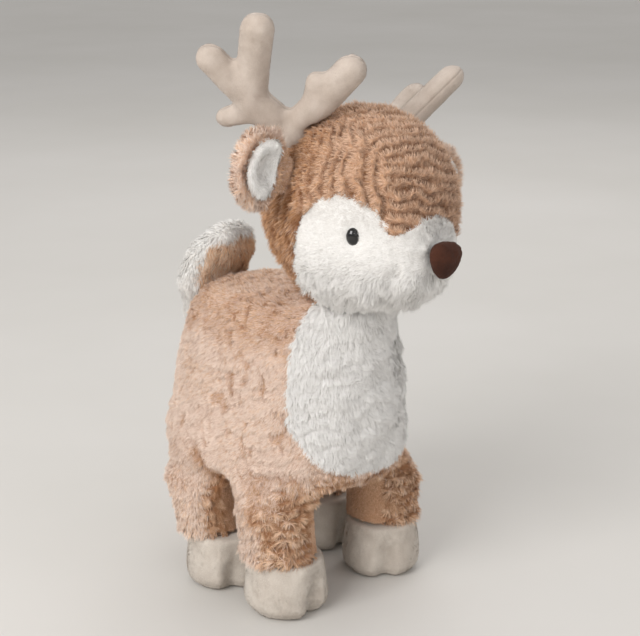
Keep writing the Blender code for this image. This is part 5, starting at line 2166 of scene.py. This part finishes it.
@dataclass
class Tail(SubAssembly):
    """The tail: a tan inner face, a white outer face and filling."""

    rise: float = 84.0
    lean: float = 0.49
    root_top: float = 0.150
    tip_wrap: float = 0.0065

    def outer(self, points: Array, jitter: Array | float = 0.0) -> Array:
        """Whether places lie on the white outer face."""
        seat = Vector(JOINTS["tail_bend"]["pos_m"])
        rise, lean = math.radians(self.rise - 90.0), math.atan2(self.lean, 1.0)
        turn = Matrix.Rotation(rise, 4, "X") @ Matrix.Rotation(lean, 4, "X")
        q = Place(Matrix.Translation(seat) @ turn).local(points)
        return q[:, 1] > jitter - 0.0022 - self.tip_wrap * step(0.72, 0.98, q[:, 2] / q[:, 2].max())

    def build(self) -> None:
        """Makes the two faces, the pile and the filling."""
        nodes = ["tail_inner_face", "tail_outer_face", "tail_filling"]
        cover = Cover.sewn(
            nodes, voxel=0.0026, rounds=20, held=lambda p: p[:, 2] < self.root_top, cap=0.0012, pressure=2.0,
            inset=0.0004,
        )
        apply_looks(cover, self.outer(cover.base).astype(int), [TAIL, WHITE_TAIL], -0.0006)
        outer = self.outer(cover.middles())
        self.cut(cover, "tail_inner_face", ~outer, TAN_BACKING, "head_plush", 0.8, "tail_inner_cover")
        self.cut(cover, "tail_outer_face", outer, WHITE_BACKING, "white_plush", 0.8, "tail_outer_cover")
        roots = set_roots(cover, np.ones(len(outer), bool), TAIL.fibre.per_mm2, 41)
        outer = self.outer(roots.base, 0.0018 * ripple(roots.base, 0.004, 431))
        self.pile("tail_inner_plush", roots.chosen(~outer), TAIL, 42)
        self.pile("tail_outer_plush", roots.chosen(outer), WHITE_TAIL, 43)
        x, y, z = JOINTS["tail_bend"]["pos_m"]
        for item in self.pieces:
            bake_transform(item, "torso", "tail", (x, y, z - 0.008), (x, y + 0.004, z + 0.006))
        self.filling("tail_filling", "tail")


# Stage, light and camera


@dataclass
class Studio:
    """A plain pale floor under soft light, and the camera."""

    aim: tuple[float, float, float] = (0.0012, 0.01107, 0.1613)
    azimuth: float = -44.26
    elevation: float = 16.63
    distance: float = 0.95
    lens: float = 89.06
    sensor: float = 36.0
    floor_reach: float = 6.0
    floor_colours: tuple[Colour, Colour] = ((206, 203, 198), (212, 209, 205))
    sky_colour: Colour = (222, 221, 220)
    sky_strength: float = 0.82

    def floor(self) -> None:
        """Makes the floor."""
        side = np.linspace(-self.floor_reach, self.floor_reach, 25)
        x, y = np.meshgrid(side, side)
        points = np.stack([x.ravel(), y.ravel(), np.zeros(x.size)], axis=1)
        n = len(side)
        first = np.array([row * n + column for row, column in product(range(n - 1), repeat=2)])
        faces = first[:, None] + (0, 1, n + 1, n)
        nodes = Nodes("studio_floor", 0.7)
        cloudy = nodes.noise(2.5, 4.0)
        dark, light = self.floor_colours
        nodes.drive("Base Color", nodes.ramp(cloudy, (0.3, tone(*dark)), (0.7, tone(*light))))
        new_object("studio_floor", points, [faces], [nodes.material])

    def hung(self, name: str, data: bpy.types.ID, azimuth: float, elevation: float, distance: float) -> Item:
        """Hangs a lamp or a camera round the deer, so that it faces the deer.

        Args:
            name: Its name.
            data: The lamp or the camera.
            azimuth: Where it hangs, with 0 in front of the deer and 90 on its left.
            elevation: How high it hangs, in degrees.
            distance: How far off it hangs.

        Returns:
            Its object.
        """
        item = linked(name, data)
        a, e = math.radians(azimuth), math.radians(elevation)
        back = Vector((math.sin(a) * math.cos(e), -math.cos(a) * math.cos(e), math.sin(e)))
        item.location = Vector(self.aim) + back * distance
        item.rotation_euler = back.to_track_quat("Z", "Y").to_euler()
        return item

    def build(self) -> None:
        """Sets up the stage."""
        self.floor()
        for name, power, size, azimuth, elevation, distance, colour, seen in (
            ("key_lamp", 15.8, 0.85, -37, 30, 1.5, (1.0, 0.99, 0.975), True),
            ("fill_lamp", 3.0, 1.6, 45, 25, 1.8, (1.0, 0.985, 0.97), True),
            ("back_lamp", 8.0, 1.4, 170, 50, 1.6, (1.0, 0.99, 0.98), True),
            ("catch_lamp", 0.45, 0.11, 16, 20, 1.3, (1.0, 1.0, 1.0), False),
        ):
            light = bpy.data.lights.new(name, "AREA")
            light.energy, light.size, light.color = power, size, colour
            self.hung(name, light, self.azimuth + azimuth, elevation, distance).visible_camera = seen
        world = bpy.data.worlds.new("studio")
        bpy.context.scene.world = world
        world.use_nodes = True
        sky = world.node_tree.nodes["Background"].inputs
        sky["Color"].default_value, sky["Strength"].default_value = tone(*self.sky_colour), self.sky_strength
        data = bpy.data.cameras.new("camera")
        data.lens, data.sensor_width = self.lens, self.sensor
        bpy.context.scene.camera = self.hung("camera", data, self.azimuth, self.elevation, self.distance)
        bpy.context.scene.view_settings.view_transform = "Standard"


def main() -> None:
    """Builds the deer's sub-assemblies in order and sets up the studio."""
    logging.basicConfig(level=logging.INFO, format="%(name)s: %(message)s")
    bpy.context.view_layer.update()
    parts: list[SubAssembly] = [Body(), Head(), Tail()]
    for side in Side:
        parts += [Ear(side), Antler(side)]
    parts += [Hoof(leg) for leg in Leg]
    for part in parts:
        part.build()
        LOG.info("%s: %d pieces", type(part).__name__, len(part.pieces))
    Studio().build()


if __name__ == "__main__":
    main()
